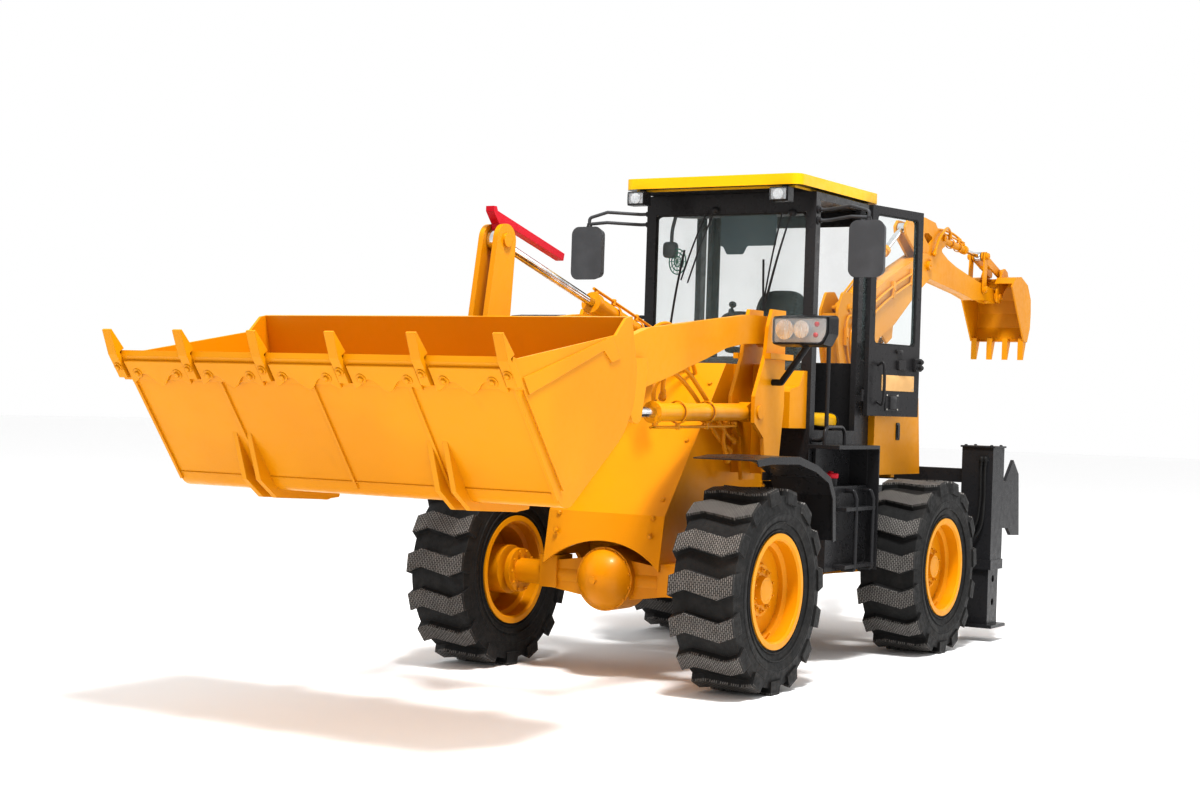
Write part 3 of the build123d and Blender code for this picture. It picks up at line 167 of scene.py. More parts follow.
def rubber(name):
    """Tyre rubber: near black, with the lugs' outer faces scuffed grey and printed with a weave.

    The weave lies round the tyre: the angle round the nearer axle times the radius, and the width."""
    f = Finish(name)
    worn = f.ramp(f.noise(7.0, 5.0), 0.45, 0.85)
    colour = f.mix(worn, (0.010, 0.010, 0.010, 1), (0.026, 0.024, 0.022, 1))
    rounded, edge = f.worn_edge(0.006)
    colour = f.mix(f.ramp(edge, 0.04, 0.25, 0.0, 0.35), colour, (0.10, 0.09, 0.08, 1))
    height = f.noise(420.0, 3.0)
    x, y, z = (f.node("ShaderNodeSeparateXYZ", Vector=f.place).outputs[axis] for axis in "XYZ")
    front = JOINTS["front_left_wheel"]["pos_m"]
    rear = JOINTS["rear_left_wheel"]["pos_m"]
    at_front = f.math("LESS_THAN", y, (front[1] + rear[1]) / 2)
    shift = f.math("MULTIPLY_ADD", at_front, front[1] - rear[1], rear[1])
    along = f.math("SUBTRACT", y, shift)
    rise = f.math("SUBTRACT", z, front[2])
    square = f.math("MULTIPLY_ADD", along, along, f.math("MULTIPLY", rise, rise))
    top = f.ramp(f.math("POWER", square, 0.5), 0.572, 0.580)
    turn = f.math("MULTIPLY", f.math("ARCTAN2", rise, along), 0.58)
    laid = f.node("ShaderNodeCombineXYZ", X=turn, Y=x)
    weave = f.node("ShaderNodeTexBrick", Vector=laid.outputs["Vector"], Scale=20.0, Mortar_Size=0.055)
    for socket, tone in (("Color1", 1.0), ("Color2", 0.75), ("Mortar", 0.05)):
        weave.inputs[socket].default_value = (tone, tone, tone, 1)
    scuffed = f.mix(f.noise(16.0, 5.0), (0.11, 0.103, 0.096, 1), (0.26, 0.245, 0.23, 1))
    lined = f.node("ShaderNodeMix", (("data_type", "RGBA"), ("blend_type", "MULTIPLY")))
    for index, value in ((0, 0.9), (6, scuffed), (7, weave.outputs["Color"])):
        f.feed(lined.inputs[index], value)
    colour = f.mix(top, colour, lined.outputs[2])
    grain = f.bump(weave.outputs["Fac"], 0.35, -0.002, f.bump(height, 0.2, 0.002, rounded))
    rough = f.ramp(f.noise(30.0, 4.0), 0.3, 0.7, 0.55, 0.75)
    return f.end(Base_Color=colour, Roughness=rough, Normal=grain, Specular_IOR_Level=0.35)


def metal(name, colour, rough, scratch):
    """Bare metal with fine scratches drawn along it."""
    f = Finish(name)
    tone = f.mix(f.ramp(f.noise(14.0, 4.0), 0.35, 0.7), (*colour, 1), (*[c * 0.72 for c in colour], 1))
    gloss = f.ramp(f.noise(40.0, 5.0, (1.0, 0.1, 0.1)), 0.35, 0.7, rough, rough + scratch)
    return f.end(Base_Color=tone, Metallic=1.0, Roughness=gloss,
                 Normal=f.bump(f.noise(320.0, 2.0), 0.05, 0.001))


def plastic(name, colour, rough, grain=0.25):
    """Moulded plastic with a fine pebbled grain."""
    f = Finish(name)
    pebble = f.node("ShaderNodeTexVoronoi", (), Vector=f.place, Scale=420.0).outputs["Distance"]
    pale = [c * 1.7 + 0.012 for c in colour]
    tone = f.mix(f.ramp(f.noise(5.0, 5.0), 0.4, 0.8, 0.0, 0.5), (*colour, 1), (*pale, 1))
    rounded, edge = f.worn_edge(0.003)
    return f.end(Base_Color=tone, Roughness=f.ramp(f.noise(18.0), 0.3, 0.7, rough, rough + 0.15),
                 Normal=f.bump(pebble, grain, 0.001, rounded), Specular_IOR_Level=0.25)


def glass(name, tint, opacity):
    """Clear flat glass: mostly see-through, with faint smears that dull its shine."""
    f = Finish(name)
    f.material.blend_method = "BLEND"
    smear = f.ramp(f.noise(5.0, 5.0), 0.45, 0.8, 0.02, 0.10)
    film = f.ramp(f.noise(2.3, 6.0), 0.4, 0.8, opacity, opacity * 1.6)
    return f.end(Base_Color=(*tint, 1), Roughness=smear, Alpha=film, IOR=1.45, Specular_IOR_Level=0.5)


YELLOW = enamel("yellow_paint", (0.64, 0.285, 0.002), (0.56, 0.222, 0.002))
# the roof's downward faces get painted shade, near black
ROOF = enamel("roof_paint", (0.74, 0.44, 0.003), (0.68, 0.36, 0.002), chips=0.0, under=True)
BLACK = enamel("black_paint", (0.024, 0.024, 0.026), (0.036, 0.034, 0.034), rough=0.30, chips=0.15)
RED = enamel("red_paint", (0.52, 0.006, 0.025), (0.42, 0.004, 0.016))
IRON = metal("engine_iron", (0.16, 0.155, 0.15), 0.55, 0.2)
CHROME = metal("chrome_rod", (0.82, 0.82, 0.83), 0.10, 0.12)
TREAD = rubber("tyre_rubber")
GLASS = glass("window_glass", (0.35, 0.46, 0.46), 0.07)
LAMP = plastic("lamp_plastic", (0.012, 0.012, 0.013), 0.24, 0.05)
ZINC = metal("zinc_plate", (0.62, 0.60, 0.56), 0.28, 0.2)
HOSE = plastic("hose_cover", (0.014, 0.014, 0.014), 0.5, 0.4)
CARD = plastic("plain_card", (0.52, 0.33, 0.15), 0.7, 0.1)
BLIND = plastic("sun_blind", (0.055, 0.085, 0.10), 0.35, 0.1)
FAN_GREEN = plastic("fan_green", (0.02, 0.16, 0.10), 0.35, 0.1)
REFLECTOR = plastic("red_reflector", (0.30, 0.010, 0.010), 0.12, 0.1)
SILVER = metal("lamp_silver", (0.80, 0.81, 0.82), 0.22, 0.12)
LENS = glass("lamp_lens", (0.80, 0.84, 0.86), 0.10)
BED = metal("lamp_bed", (0.42, 0.42, 0.43), 0.30, 0.15)
CASING = plastic("mirror_plastic", (0.060, 0.062, 0.066), 0.42)
VINYL = plastic("seat_vinyl", (0.014, 0.014, 0.015), 0.48, 0.5)
TRIM = plastic("cab_plastic", (0.030, 0.030, 0.032), 0.5)

SLOTS = {
    "yellow_paint": YELLOW, "roof_paint": ROOF, "black_paint": BLACK, "red_paint": RED,
    "engine_iron": IRON, "chrome_rod": CHROME, "tyre_rubber": TREAD, "window_glass": GLASS,
    "lamp_plastic": LAMP, "mirror_plastic": CASING, "seat_vinyl": VINYL, "cab_plastic": TRIM,
}
for part in frame["record"]["subparts"]:
    solid = NODES[part["node"]]
    solid.data.materials.clear()
    solid.data.materials.append(SLOTS[part["material_slot"]])

# ---- building surfaces
FRONT = "front_frame"
REAR = "rear_frame"
FRONT_AXLE_Y = JOINTS["front_left_wheel"]["pos_m"][1]
REAR_AXLE_Y = JOINTS["rear_left_wheel"]["pos_m"][1]
AXLE_Z = JOINTS["front_left_wheel"]["pos_m"][2]
STUD_CIRCLE = 0.118


def unit(vectors):
    """The same directions at length one."""
    return vectors / np.maximum(np.linalg.norm(vectors, axis=-1, keepdims=True), 1e-12)


def turns(count, start=0.0):
    """Angles evenly round a circle, begun at a share of a step."""
    return (np.arange(count) + start) * 2 * np.pi / count


def looped(outline):
    """An outline that ends where it began."""
    return np.concatenate((outline, outline[:1]))


def middle_of(node):
    """The middle of a solid's box."""
    low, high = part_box(node)
    return np.array(((low.x + high.x) / 2, (low.y + high.y) / 2, (low.z + high.z) / 2))


def oblong(place, wide, tall):
    """The four corners of a rectangle, each put in place by a function of its two measures."""
    corners = ((wide[0], tall[0]), (wide[1], tall[0]), (wide[1], tall[1]), (wide[0], tall[1]))
    return [place(u, v) for u, v in corners]


class Piece:
    """Closed surfaces gathered into one object that rides on one body."""

    def __init__(self):
        self.points = []
        self.faces = []
        self.count = 0

    def grid(self, points, around=True, ends=True):
        """Quads over a grid of rows; each row may close on itself, and the end rows are capped."""
        rows, columns = points.shape[:2]
        index = np.arange(rows * columns).reshape(rows, columns) + self.count
        right = np.roll(index, -1, axis=1) if around else index[:, 1:]
        left = index if around else index[:, :-1]
        quads = np.stack((left[:-1], right[:-1], right[1:], left[1:]), axis=-1).reshape(-1, 4)
        self.faces += quads.tolist()
        if ends:
            self.faces += [index[0][::-1].tolist(), index[-1].tolist()]
        self.points.append(points.reshape(-1, 3))
        self.count += rows * columns
        return self

    def tube(self, corners, radius, sides=12, steps=8):
        """A round bar: a circle carried along a smooth curve through the corners.

        Each span is the cubic a + bt + ct^2 + dt^3 whose slopes at a corner are half the way
        between its neighbours; the circle stands square to the curve at every step."""
        p = np.array(corners, float)
        p = np.concatenate((p[:1] * 2 - p[1:2], p, p[-1:] * 2 - p[-2:-1]))
        t = (np.arange(steps) / steps)[None, :, None]
        a, b, c, d = (p[i:len(p) - 3 + i, None, :] for i in range(4))
        spans = b + 0.5 * t * (c - a + t * (2 * a - 5 * b + 4 * c - d + t * (3 * b - a - 3 * c + d)))
        line = np.concatenate((spans.reshape(-1, 3), p[-2:-1]))
        along = unit(np.gradient(line, axis=0))
        flat = np.linalg.svd(line - line.mean(0))[2][2]
        side = unit(np.cross(along, flat))
        up = np.cross(side, along)
        turn = turns(sides)
        ring = np.cos(turn)[None, :, None] * side[:, None] + np.sin(turn)[None, :, None] * up[:, None]
        return self.grid(line[:, None] + np.reshape(radius, (-1, 1, 1)) * ring)

    def spin(self, centre, axis, profile, sides=16, ends=True):
        """A turned form: a profile of (distance along the axis, radius) carried round the axis."""
        axis = unit(np.array(axis, float))
        side = unit(np.cross(axis, (0.0, 0.0, 1.0) if abs(axis[2]) < 0.9 else (1.0, 0.0, 0.0)))
        up = np.cross(axis, side)
        turn = turns(sides)
        ring = np.cos(turn)[:, None] * side + np.sin(turn)[:, None] * up
        rows = np.array(profile, float)
        points = rows[:, :1, None] * axis + rows[:, 1:, None] * ring
        return self.grid(np.array(centre, float) + points, ends=ends)

    def bolt(self, centre, axis, radius=0.012, washer=True):
        """A hexagon head with a domed top, standing on its washer."""
        if washer:
            self.spin(centre, axis, ((-0.003, radius * 1.35), (0.003, radius * 1.35)), 16)
        head = ((0.0, radius * 1.15), (radius * 0.75, radius * 1.15), (radius * 0.95, radius * 0.8))
        return self.spin(centre, axis, head, 6)

    def slab(self, outline, thick, inset=0.0):
        """A flat plate: an outline carried along its thickness, drawn in a little at both faces."""
        outline = np.array(outline, float)
        thick = np.array(thick, float)
        middle = outline.mean(0)
        share = inset / np.linalg.norm(outline - middle, axis=1).mean()
        small = outline + (middle - outline) * share
        rows = (small, outline + thick * 0.12, outline + thick * 0.88, small + thick)
        if not inset:
            rows = (outline, outline + thick)
        return self.grid(np.array(rows))

    def done(self, name, material, body, bevel=0.0, smooth=60, slot=None):
        """Joins what was gathered, turns its faces outward and hangs it on its body."""
        mesh = bpy.data.meshes.new(name)
        mesh.from_pydata(np.concatenate(self.points).tolist(), [], self.faces)
        mesh.validate()
        work = bmesh.new()
        work.from_mesh(mesh)
        bmesh.ops.remove_doubles(work, verts=work.verts, dist=1e-6)
        bmesh.ops.recalc_face_normals(work, faces=work.faces)
        work.to_mesh(mesh)
        work.free()
        mesh.materials.append(material)
        mesh.polygons.foreach_set("use_smooth", np.ones(len(mesh.polygons), bool))
        mesh.set_sharp_from_angle(angle=math.radians(smooth))
        made = bpy.data.objects.new(name, mesh)
        bpy.context.scene.collection.objects.link(made)
        if bevel:
            rounding = made.modifiers.new("rounding", "BEVEL")
            rounding.width = bevel
            rounding.segments = 2
            rounding.angle_limit = math.radians(35)
        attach(made, body)
        return made


NAMES = {material: name for name, material in SLOTS.items()}
NAMES.update({
    ZINC: "chrome_rod", SILVER: "chrome_rod", HOSE: "cab_plastic", CARD: "cab_plastic",
    BLIND: "cab_plastic", FAN_GREEN: "cab_plastic", REFLECTOR: "lamp_plastic", LENS: "window_glass",
    BED: "lamp_plastic",
})

# ---- pins and wheels
def across(places, half, radius, bolts):
    """Pin heads at both ends of cross pins: a chamfered disc, a grease nipple and a keeper bolt."""
    made = Piece()
    for x, y, z in places:
        for side in (1, -1):
            end = np.array((x + side * half, y, z))
            made.spin(end, (side, 0, 0), (
                (-0.012, radius), (0.010, radius), (0.014, radius - 0.004), (0.014, 0.008), (0.010, 0.006),
            ), 20)
            nipple = ((0, 0.007), (0.010, 0.005), (0.012, 0.002))
            made.spin(end + (side * 0.012, 0, 0), (side, 0, 0), nipple, 8)
            if bolts:
                made.bolt(end + (side * -0.001, 0.02, radius + 0.012), (side, 0, 0), 0.008)
    return made


def wheel_trim(end, hand):
    """Ten wheel nuts on studs, evenly round a circle on the disc, and a bent valve stem."""
    side = 1 if hand == "left" else -1
    centre = middle_of(f"rim_{end}_{hand}")
    face = centre + (side * 0.084, 0, 0)
    nuts = Piece()
    for angle in turns(10, 0.5):
        place = face + (0, STUD_CIRCLE * np.cos(angle), STUD_CIRCLE * np.sin(angle))
        nuts.bolt(place, (side, 0, 0), 0.013)
        stud = ((0, 0.007), (0.016, 0.007), (0.018, 0.005))
        nuts.spin(place + (side * 0.008, 0, 0), (side, 0, 0), stud, 10)
    nuts.tube((
        centre + (side * 0.10, 0.0, -0.285), centre + (side * 0.125, 0.0, -0.27),
        centre + (side * 0.15, 0.0, -0.235),
    ), 0.006, 8)
    nuts.done(f"wheel_nuts_{end}_{hand}", YELLOW, f"wheel_{end}_{hand}", smooth=30)


def tyre_rings(end, hand):
    """Moulded ribs round both sidewalls: rings whose section is an ellipse, half sunk in the rubber."""
    centre = middle_of(f"tyre_{end}_{hand}")
    centre[2] = AXLE_Z
    rings = Piece()
    for side in (1, -1):
        for radius, out in ((0.352, 0.188), (0.395, 0.2005), (0.452, 0.2055)):
            turn = turns(96)
            section = turns(8)[:, None]
            r = radius + 0.006 * np.cos(section)
            x = side * (out + 0.0055 * np.sin(section)) + np.zeros_like(turn)
            points = np.stack((x, r * np.cos(turn), r * np.sin(turn)), axis=-1)
            rings.grid(centre + looped(points), ends=False)
    rings.done(f"sidewall_ribs_{end}_{hand}", TREAD, f"wheel_{end}_{hand}")


for end in ("front", "rear"):
    for hand in ("left", "right"):
        wheel_trim(end, hand)
        tyre_rings(end, hand)


# ---- bucket
HEEL = np.array((0, FRONT_AXLE_Y - 2.440, 1.125))
ROLL = math.radians(54)


def on_bucket(x, out, up):
    """A place on the rolled bucket: out from its heel along the floor, up through the floor."""
    sine = math.sin(ROLL)
    cosine = math.cos(ROLL)
    return HEEL + (x, out * cosine + up * sine, up * cosine - out * sine)


UNDER = on_bucket(0, 0, -1) - HEEL
EDGE_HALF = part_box("cutting_edge")[1].x
TOOTH = 0.055
TOOTH_STEP = (2 * EDGE_HALF - TOOTH) / 5


def wavy_edges():
    """Five bolted wear plates, whose back line waves as a cosine, and the dished washers."""
    plates = Piece()
    bolts = Piece()
    for n in range(5):
        left = -EDGE_HALF + TOOTH + n * TOOTH_STEP + 0.012
        wide = TOOTH_STEP - TOOTH - 0.024
        share = np.linspace(0, 1, 33)
        back = -0.705 + 0.030 * np.cos(share * 4 * np.pi) * (1 - 0.25 * np.cos(share * 2 * np.pi))
        outline = [on_bucket(left + s * wide, b, -0.019) for s, b in zip(share, back)]
        outline += [on_bucket(left + wide, -0.812, -0.019), on_bucket(left, -0.812, -0.019)]
        plates.slab(outline, UNDER * 0.016)
        for s in (0.16, 0.84):
            place = on_bucket(left + s * wide, -0.742, -0.034)
            dish = ((0, 0.027), (0.004, 0.027), (0.006, 0.022), (0.004, 0.017), (0.004, 0.003))
            bolts.spin(place, UNDER, dish, 24)
            bolts.bolt(place + UNDER * 0.003, UNDER, 0.012, False)
    for n in range(6):
        place = on_bucket(-EDGE_HALF + TOOTH / 2 + n * TOOTH_STEP, -0.785, -0.0455)
        dish = ((0, 0.024), (0.005, 0.024), (0.008, 0.019), (0.005, 0.014), (0.005, 0.003))
        bolts.spin(place, UNDER, dish, 24)
        bolts.bolt(place + UNDER * 0.004, UNDER, 0.011, False)
    plates.done("edge_wear_plates", YELLOW, "loader_bucket", 0.003, smooth=40)
    bolts.done("edge_bolts", YELLOW, "loader_bucket", smooth=30)


def seams():
    """Weld beads along the bucket: a lumpy half-round run, swelling as a fine wave."""
    beads = Piece()
    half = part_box("loader_bucket")[1].x
    runs = (
        ((-half + 0.03, -0.688, -0.004), (half - 0.03, -0.688, -0.004)),
        ((-half + 0.03, -0.10, -0.002), (half - 0.03, -0.10, -0.002)),
        ((half + 0.001, -0.66, 0.03), (half + 0.001, -0.08, 0.05)),
    )
    for start, stop in runs:
        a = on_bucket(*start)
        b = on_bucket(*stop)
        count = int(np.linalg.norm(b - a) / 0.01)
        line = a + (b - a) * np.linspace(0, 1, count)[:, None]
        beads.tube(line, 0.0045 + 0.0009 * np.sin(np.arange(count) * 2.1), 8, 1)
    beads.done("bucket_welds", YELLOW, "loader_bucket")


wavy_edges()
seams()

# ---- pins and rams
def near(x, y, z):
    """A place given by its distance behind the front axle."""
    return np.array((x, FRONT_AXLE_Y + y, z))


def pivot(joint):
    """Where a joint's axis stands at rest."""
    return np.array(JOINTS[joint]["pos_m"], float)


def width(node):
    """The middle and half of a solid's width."""
    low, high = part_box(node)
    return (low.x + high.x) / 2, (high.x - low.x) / 2


PINS = (  # joint, body, solid that the pin spans, half its length where the solid doesn't give it, radius
    ("rocker", "rocker", "rocker", None, 0.045),
    ("bucket_link", "rocker", "rocker", width("rocker")[1] - 0.010, 0.036),
    ("hoe_boom", "hoe_kingpost", "hoe_kingpost", None, 0.046),
    ("hoe_dipper", "hoe_dipper", "hoe_dipper", None, 0.040),
    ("hoe_guide_link", "hoe_guide_link", "hoe_guide_link", None, 0.030),
    ("hoe_push_link", "hoe_guide_link", "hoe_guide_link", None, 0.030),
    ("hoe_bucket", "hoe_dipper", "hoe_guide_link", 0.074, 0.036),
    ("hoe_dipper_barrel", "hoe_boom", "hoe_boom", 0.081, 0.032),
    ("hoe_curl_barrel", "hoe_dipper", "hoe_dipper", 0.062, 0.028),
)
for joint, body, node, half, radius in PINS:
    centre, full = width(node)
    x, y, z = pivot(joint)
    pin = across([(centre, y, z)], half or full, radius, radius > 0.035)
    pin.done(f"pin_{joint}", YELLOW, body, smooth=35)
arm = width("lift_rods")[1] - 0.034
for joint, name, body, half, radius in (
    ("lift", "pins_lift", FRONT, 0.0655, 0.055),
    ("lift_barrels", "pins_lift_rams", FRONT, 0.0655, 0.045),
    ("bucket_tilt", "pins_bucket", "loader_boom", 0.0675, 0.050),
):
    x, y, z = pivot(joint)
    across([(arm, y, z), (-arm, y, z)], half, radius, True).done(name, YELLOW, body, smooth=35)


PORT = 0.017


def ram_trim(node, slide, radius, places, turn, pipe_end, bolts=()):
    """A ram's fittings: two ports, a pipe bent from one to the other, clamp bands, gland bolts."""
    base = pivot(node)
    axis = np.array(JOINTS[slide]["axis"], float)
    main = int(np.argmax(np.abs(axis)))
    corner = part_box(node)[1 if axis[main] > 0 else 0][main]
    length = (corner - base[main]) / axis[main] - radius * math.sqrt(1 - axis[main] ** 2) / abs(axis[main])
    up = turn * np.array((0, -axis[2], axis[1]))
    foot = math.sqrt(radius ** 2 - PORT ** 2) - 0.0005
    made = Piece()
    for x in places:
        start = np.array((x, base[1], base[2]))
        face = start + axis * length
        for angle in bolts:
            out = np.array((math.cos(angle), 0, 0)) + math.sin(angle) * up
            made.bolt(face + out * radius * 0.80, axis, radius * 0.10, False)
        high = radius + 0.022
        line = (
            face - axis * 0.035 + up * foot, face - axis * 0.035 + up * (high - 0.004),
            face - axis * 0.06 + up * high, start + axis * (pipe_end + 0.05) + up * high,
            start + axis * pipe_end + up * (high - 0.006), start + axis * pipe_end + up * foot,
        )
        made.tube(line, 0.0085, 10, 6)
        for s in (length - 0.035, pipe_end):
            made.spin(start + axis * s + up * foot, up, ((0, PORT), (0.012, PORT), (0.016, 0.013)), 6)
        for s in (0.35, 0.7):
            middle = start + axis * (pipe_end + (length - pipe_end) * s)
            inner = radius - 0.002
            outer = radius + 0.004
            band = ((0, inner), (0, outer), (0.022, outer), (0.022, inner), (0, inner))
            made.spin(middle - axis * 0.011, axis, band, 32, ends=False)
            lug = ((0, 0.014), (0.034, 0.014), (0.036, 0.011))
            made.spin(middle + up * (radius + 0.002), up, lug, 6)
    made.done(f"fittings_{node}", YELLOW, node, smooth=35)


ROUND = np.arange(6) * np.pi / 3 + 0.3
hoe_x = width("hoe_boom")[0]
ram_trim("lift_barrels", "lift_rods", 0.062, (arm, -arm), 1, 0.16, ROUND)
ram_trim("tilt_barrel", "tilt_rod", 0.065, (0.0,), -1, 0.14)
ram_trim("hoe_boom_barrel", "hoe_boom_rod", 0.050, (hoe_x,), 1, 0.10)
ram_trim("hoe_dipper_barrel", "hoe_dipper_rod", 0.047, (hoe_x,), 1, 0.10, ROUND)
ram_trim("hoe_curl_barrel", "hoe_curl_rod", 0.040, (hoe_x,), 1, 0.10)


def hoses():
    """Hoses and pipes: tubes along smooth curves, a crimped sleeve at each end, each row on one body."""
    def boom_line(side, run):
        """Corners beside the backhoe boom's plate."""
        return [(side * 0.096, y, z) for y, z in run]

    outer = (
        (3.96, 1.72), (3.80, 1.98), (3.72, 2.20), (3.76, 2.36), (3.98, 2.38), (4.50, 2.61), (5.16, 2.84),
    )
    inner = (
        (4.02, 1.72), (3.86, 2.00), (3.80, 2.18), (3.86, 2.30), (4.04, 2.32), (4.52, 2.54), (5.14, 2.76),
    )
    runs = (  # name, body, material, radius, shift to the side, mirrored, corners behind the front axle
        ("lift_hoses", FRONT, YELLOW, 0.013, 0, True, (
            ((0.515, 0.52, 1.42), (0.505, 0.38, 1.50), (0.50, 0.10, 1.72), (0.505, -0.16, 1.86),
             (0.515, -0.36, 1.80), (0.52, -0.40, 1.66)),
            ((0.49, 0.52, 1.36), (0.475, 0.36, 1.46), (0.47, 0.06, 1.70), (0.475, -0.22, 1.82),
             (0.49, -0.43, 1.74), (0.50, -0.46, 1.60)),
            ((0.515, 0.44, 1.30), (0.50, 0.41, 1.40), (0.505, 0.40, 1.49), (0.515, 0.42, 1.56)),
        )),
        ("tilt_hoses", FRONT, YELLOW, 0.013, 0, False, (
            ((0.16, 0.62, 1.72), (0.15, 0.50, 1.98), (0.13, 0.38, 2.12), (0.12, 0.20, 2.10),
             (0.14, 0.10, 1.98), (0.16, 0.10, 1.80)),
            ((0.22, 0.62, 1.70), (0.21, 0.48, 1.94), (0.20, 0.30, 2.10), (0.19, 0.12, 2.05),
             (0.20, 0.04, 1.90), (0.21, 0.05, 1.78)),
            ((-0.18, 0.60, 1.72), (-0.17, 0.46, 1.96), (-0.15, 0.26, 2.06), (-0.16, 0.10, 1.94),
             (-0.18, 0.08, 1.78)),
        )),
        ("boom_pipes", "hoe_boom", YELLOW, 0.010, hoe_x, False, (
            boom_line(1, outer), boom_line(1, inner), boom_line(-1, outer),
        )),
        ("dipper_hoses", "hoe_dipper", YELLOW, 0.011, hoe_x, False, (
            ((0.075, 5.52, 2.98), (0.085, 5.60, 3.12), (0.08, 5.72, 3.20), (0.05, 5.88, 3.245),
             (0.02, 6.02, 3.22), (0.01, 6.04, 3.17)),
            ((-0.07, 5.50, 2.98), (-0.085, 5.62, 3.14), (-0.075, 5.90, 3.235), (-0.05, 6.18, 3.24),
             (-0.02, 6.36, 3.19), (-0.01, 6.38, 3.14)),
        )),
        ("stabiliser_hoses", REAR, HOSE, 0.011, 0, True, (
            ((1.02, 3.435, 1.33), (1.02, 3.425, 1.20), (1.02, 3.425, 1.02), (1.00, 3.42, 0.86),
             (0.94, 3.42, 0.76), (0.86, 3.47, 0.74)),
            ((1.05, 3.435, 1.33), (1.05, 3.425, 1.20), (1.05, 3.425, 1.00), (1.03, 3.42, 0.82),
             (0.95, 3.42, 0.71), (0.86, 3.47, 0.70)),
        )),
    )
    for name, body, material, radius, shift, mirrored, lines in runs:
        made = Piece()
        for hand in (1, -1) if mirrored else (1,):
            for line in lines:
                corners = np.array([near(shift + x, y, z) for x, y, z in line]) * (hand, 1, 1)
                made.tube(corners, radius, 12, 10)
                for end, beyond in ((0, 1), (-1, -2)):
                    made.spin(corners[end], corners[beyond] - corners[end], (
                        (-0.006, radius * 1.2), (0.004, radius * 1.75), (0.030, radius * 1.75),
                        (0.034, radius * 1.3), (0.060, radius * 1.25),
                    ), 12)
        made.done(name, material, body)


hoses()


def clips():
    """Pipe clamps along the backhoe boom: a block over the pipes and a bolt on it."""
    made = Piece()
    for y, z in ((3.72, 2.20), (4.20, 2.44), (4.62, 2.62), (5.00, 2.75)):
        for side in (1, -1):
            place = near(hoe_x + side * 0.081, y, z)
            strap = oblong(lambda u, v: place + (0, u, v), (-0.022, 0.022), (-0.065, 0.075))
            made.slab(strap, (side * 0.028, 0, 0), 0.006)
            made.bolt(place + (side * 0.028, 0, 0), (side, 0, 0), 0.009, False)
    made.done("boom_pipe_clamps", YELLOW, "hoe_boom", 0.002, smooth=40)


clips()


# ---- lamps and mirrors
HANDS = {1: "left", -1: "right"}
FORWARD = (0, -1, 0)
PILLAR_X = 0.626
MIRROR_X = 1.030


def rounded(corners, radius, steps=6):
    """A closed outline with its corners rounded by quadratic curves from edge to edge."""
    p = np.array(corners, float)
    before = p + unit(np.roll(p, 1, axis=0) - p) * radius
    after = p + unit(np.roll(p, -1, axis=0) - p) * radius
    t = np.linspace(0, 1, steps)[None, :, None]
    curve = (1 - t) ** 2 * before[:, None] + 2 * t * (1 - t) * p[:, None] + t ** 2 * after[:, None]
    return curve.reshape(-1, p.shape[1])


def stepped(outline, steps):
    """Rows drawn in towards the outline's middle and set forward: one for each (size, shift)."""
    middle = outline.mean(0)
    return np.array([middle + (outline - middle) * size + (0, shift, 0) for size, shift in steps])


def bowl(piece, centre, axis, radius, depth):
    """A reflector hollow to the front: a paraboloid, deeper by the square of the radius's share."""
    share = np.linspace(1, 0.08, 12)
    inner = [(depth * (s * s - 1), radius * s) for s in share]
    outer = [(x - 0.002, r + 0.002) for x, r in reversed(inner)]
    piece.spin(centre, axis, inner + outer, 40)


def lens(kind, hand, body, outline, steps, thick, shift):
    """A domed clear lens over an outline, and the round rim that holds it."""
    Piece().grid(stepped(outline, steps)).done(f"{kind}_lens_{hand}", LENS, body, smooth=40)
    rim = looped(outline) + (0, shift, 0)
    Piece().tube(rim, thick, 8, 1).done(f"{kind}_rim_{hand}", LAMP, body)


def headlamp(side):
    """A faceted clear lens over two silver bowls and two small red lenses in a pale bed."""
    hand = HANDS[side]
    face = near(side * 0.95, 0.480, 2.100)
    outline = ((-0.172, -0.076), (0.143, -0.076), (0.178, -0.016), (0.178, 0.076), (-0.172, 0.076))
    bed = rounded([face + (u, -0.003, v) for u, v in outline], 0.022)
    Piece().slab(bed, (0, 0.006, 0)).done(f"lamp_bed_{hand}", BED, FRONT, smooth=30)
    inside = Piece()
    for u, v, r in ((-0.088, 0.004, 0.058), (0.020, 0.006, 0.050)):
        bowl(inside, face + (u, -0.030, v), FORWARD, r, 0.022)
        inside.spin(face + (u, -0.012, v), FORWARD, ((0, 0.010), (0.014, 0.010), (0.020, 0.004)), 20)
    inside.done(f"lamp_bowls_{hand}", SILVER, FRONT)
    dots = Piece()
    for u, v in ((0.112, 0.038), (0.105, -0.026)):
        dots.spin(face + (u, -0.006, v), FORWARD, ((-0.004, 0.015), (0.006, 0.014), (0.010, 0.008)), 24)
    dots.done(f"lamp_dots_{hand}", REFLECTOR, FRONT)
    steps = ((1.0, 0.0), (1.0, -0.030), (0.96, -0.040), (0.5, -0.046))
    edge = rounded([face + (u, -0.004, v) for u, v in outline], 0.022)
    lens("lamp", hand, FRONT, edge, steps, 0.006, -0.002)


def work_lamp(side):
    """A square flood lamp: a pressed reflector, a domed clear lens and a rubber rim."""
    hand = HANDS[side]
    face = near(side * 0.520, 1.010, 2.985)
    outline = rounded(oblong(lambda u, v: face + (u, 0, v), (-0.058, 0.058), (-0.038, 0.038)), 0.010)
    Piece().slab(outline + (0, -0.004, 0), (0, 0.003, 0)).done(f"flood_bed_{hand}", BED, REAR, smooth=40)
    bulb = Piece()
    bowl(bulb, face + (0, -0.010, 0), FORWARD, 0.034, 0.014)
    bulb.done(f"flood_bowl_{hand}", SILVER, REAR)
    steps = ((1.0, -0.005), (0.98, -0.016), (0.85, -0.021), (0.4, -0.023))
    lens("flood", hand, REAR, outline, steps, 0.0055, -0.006)


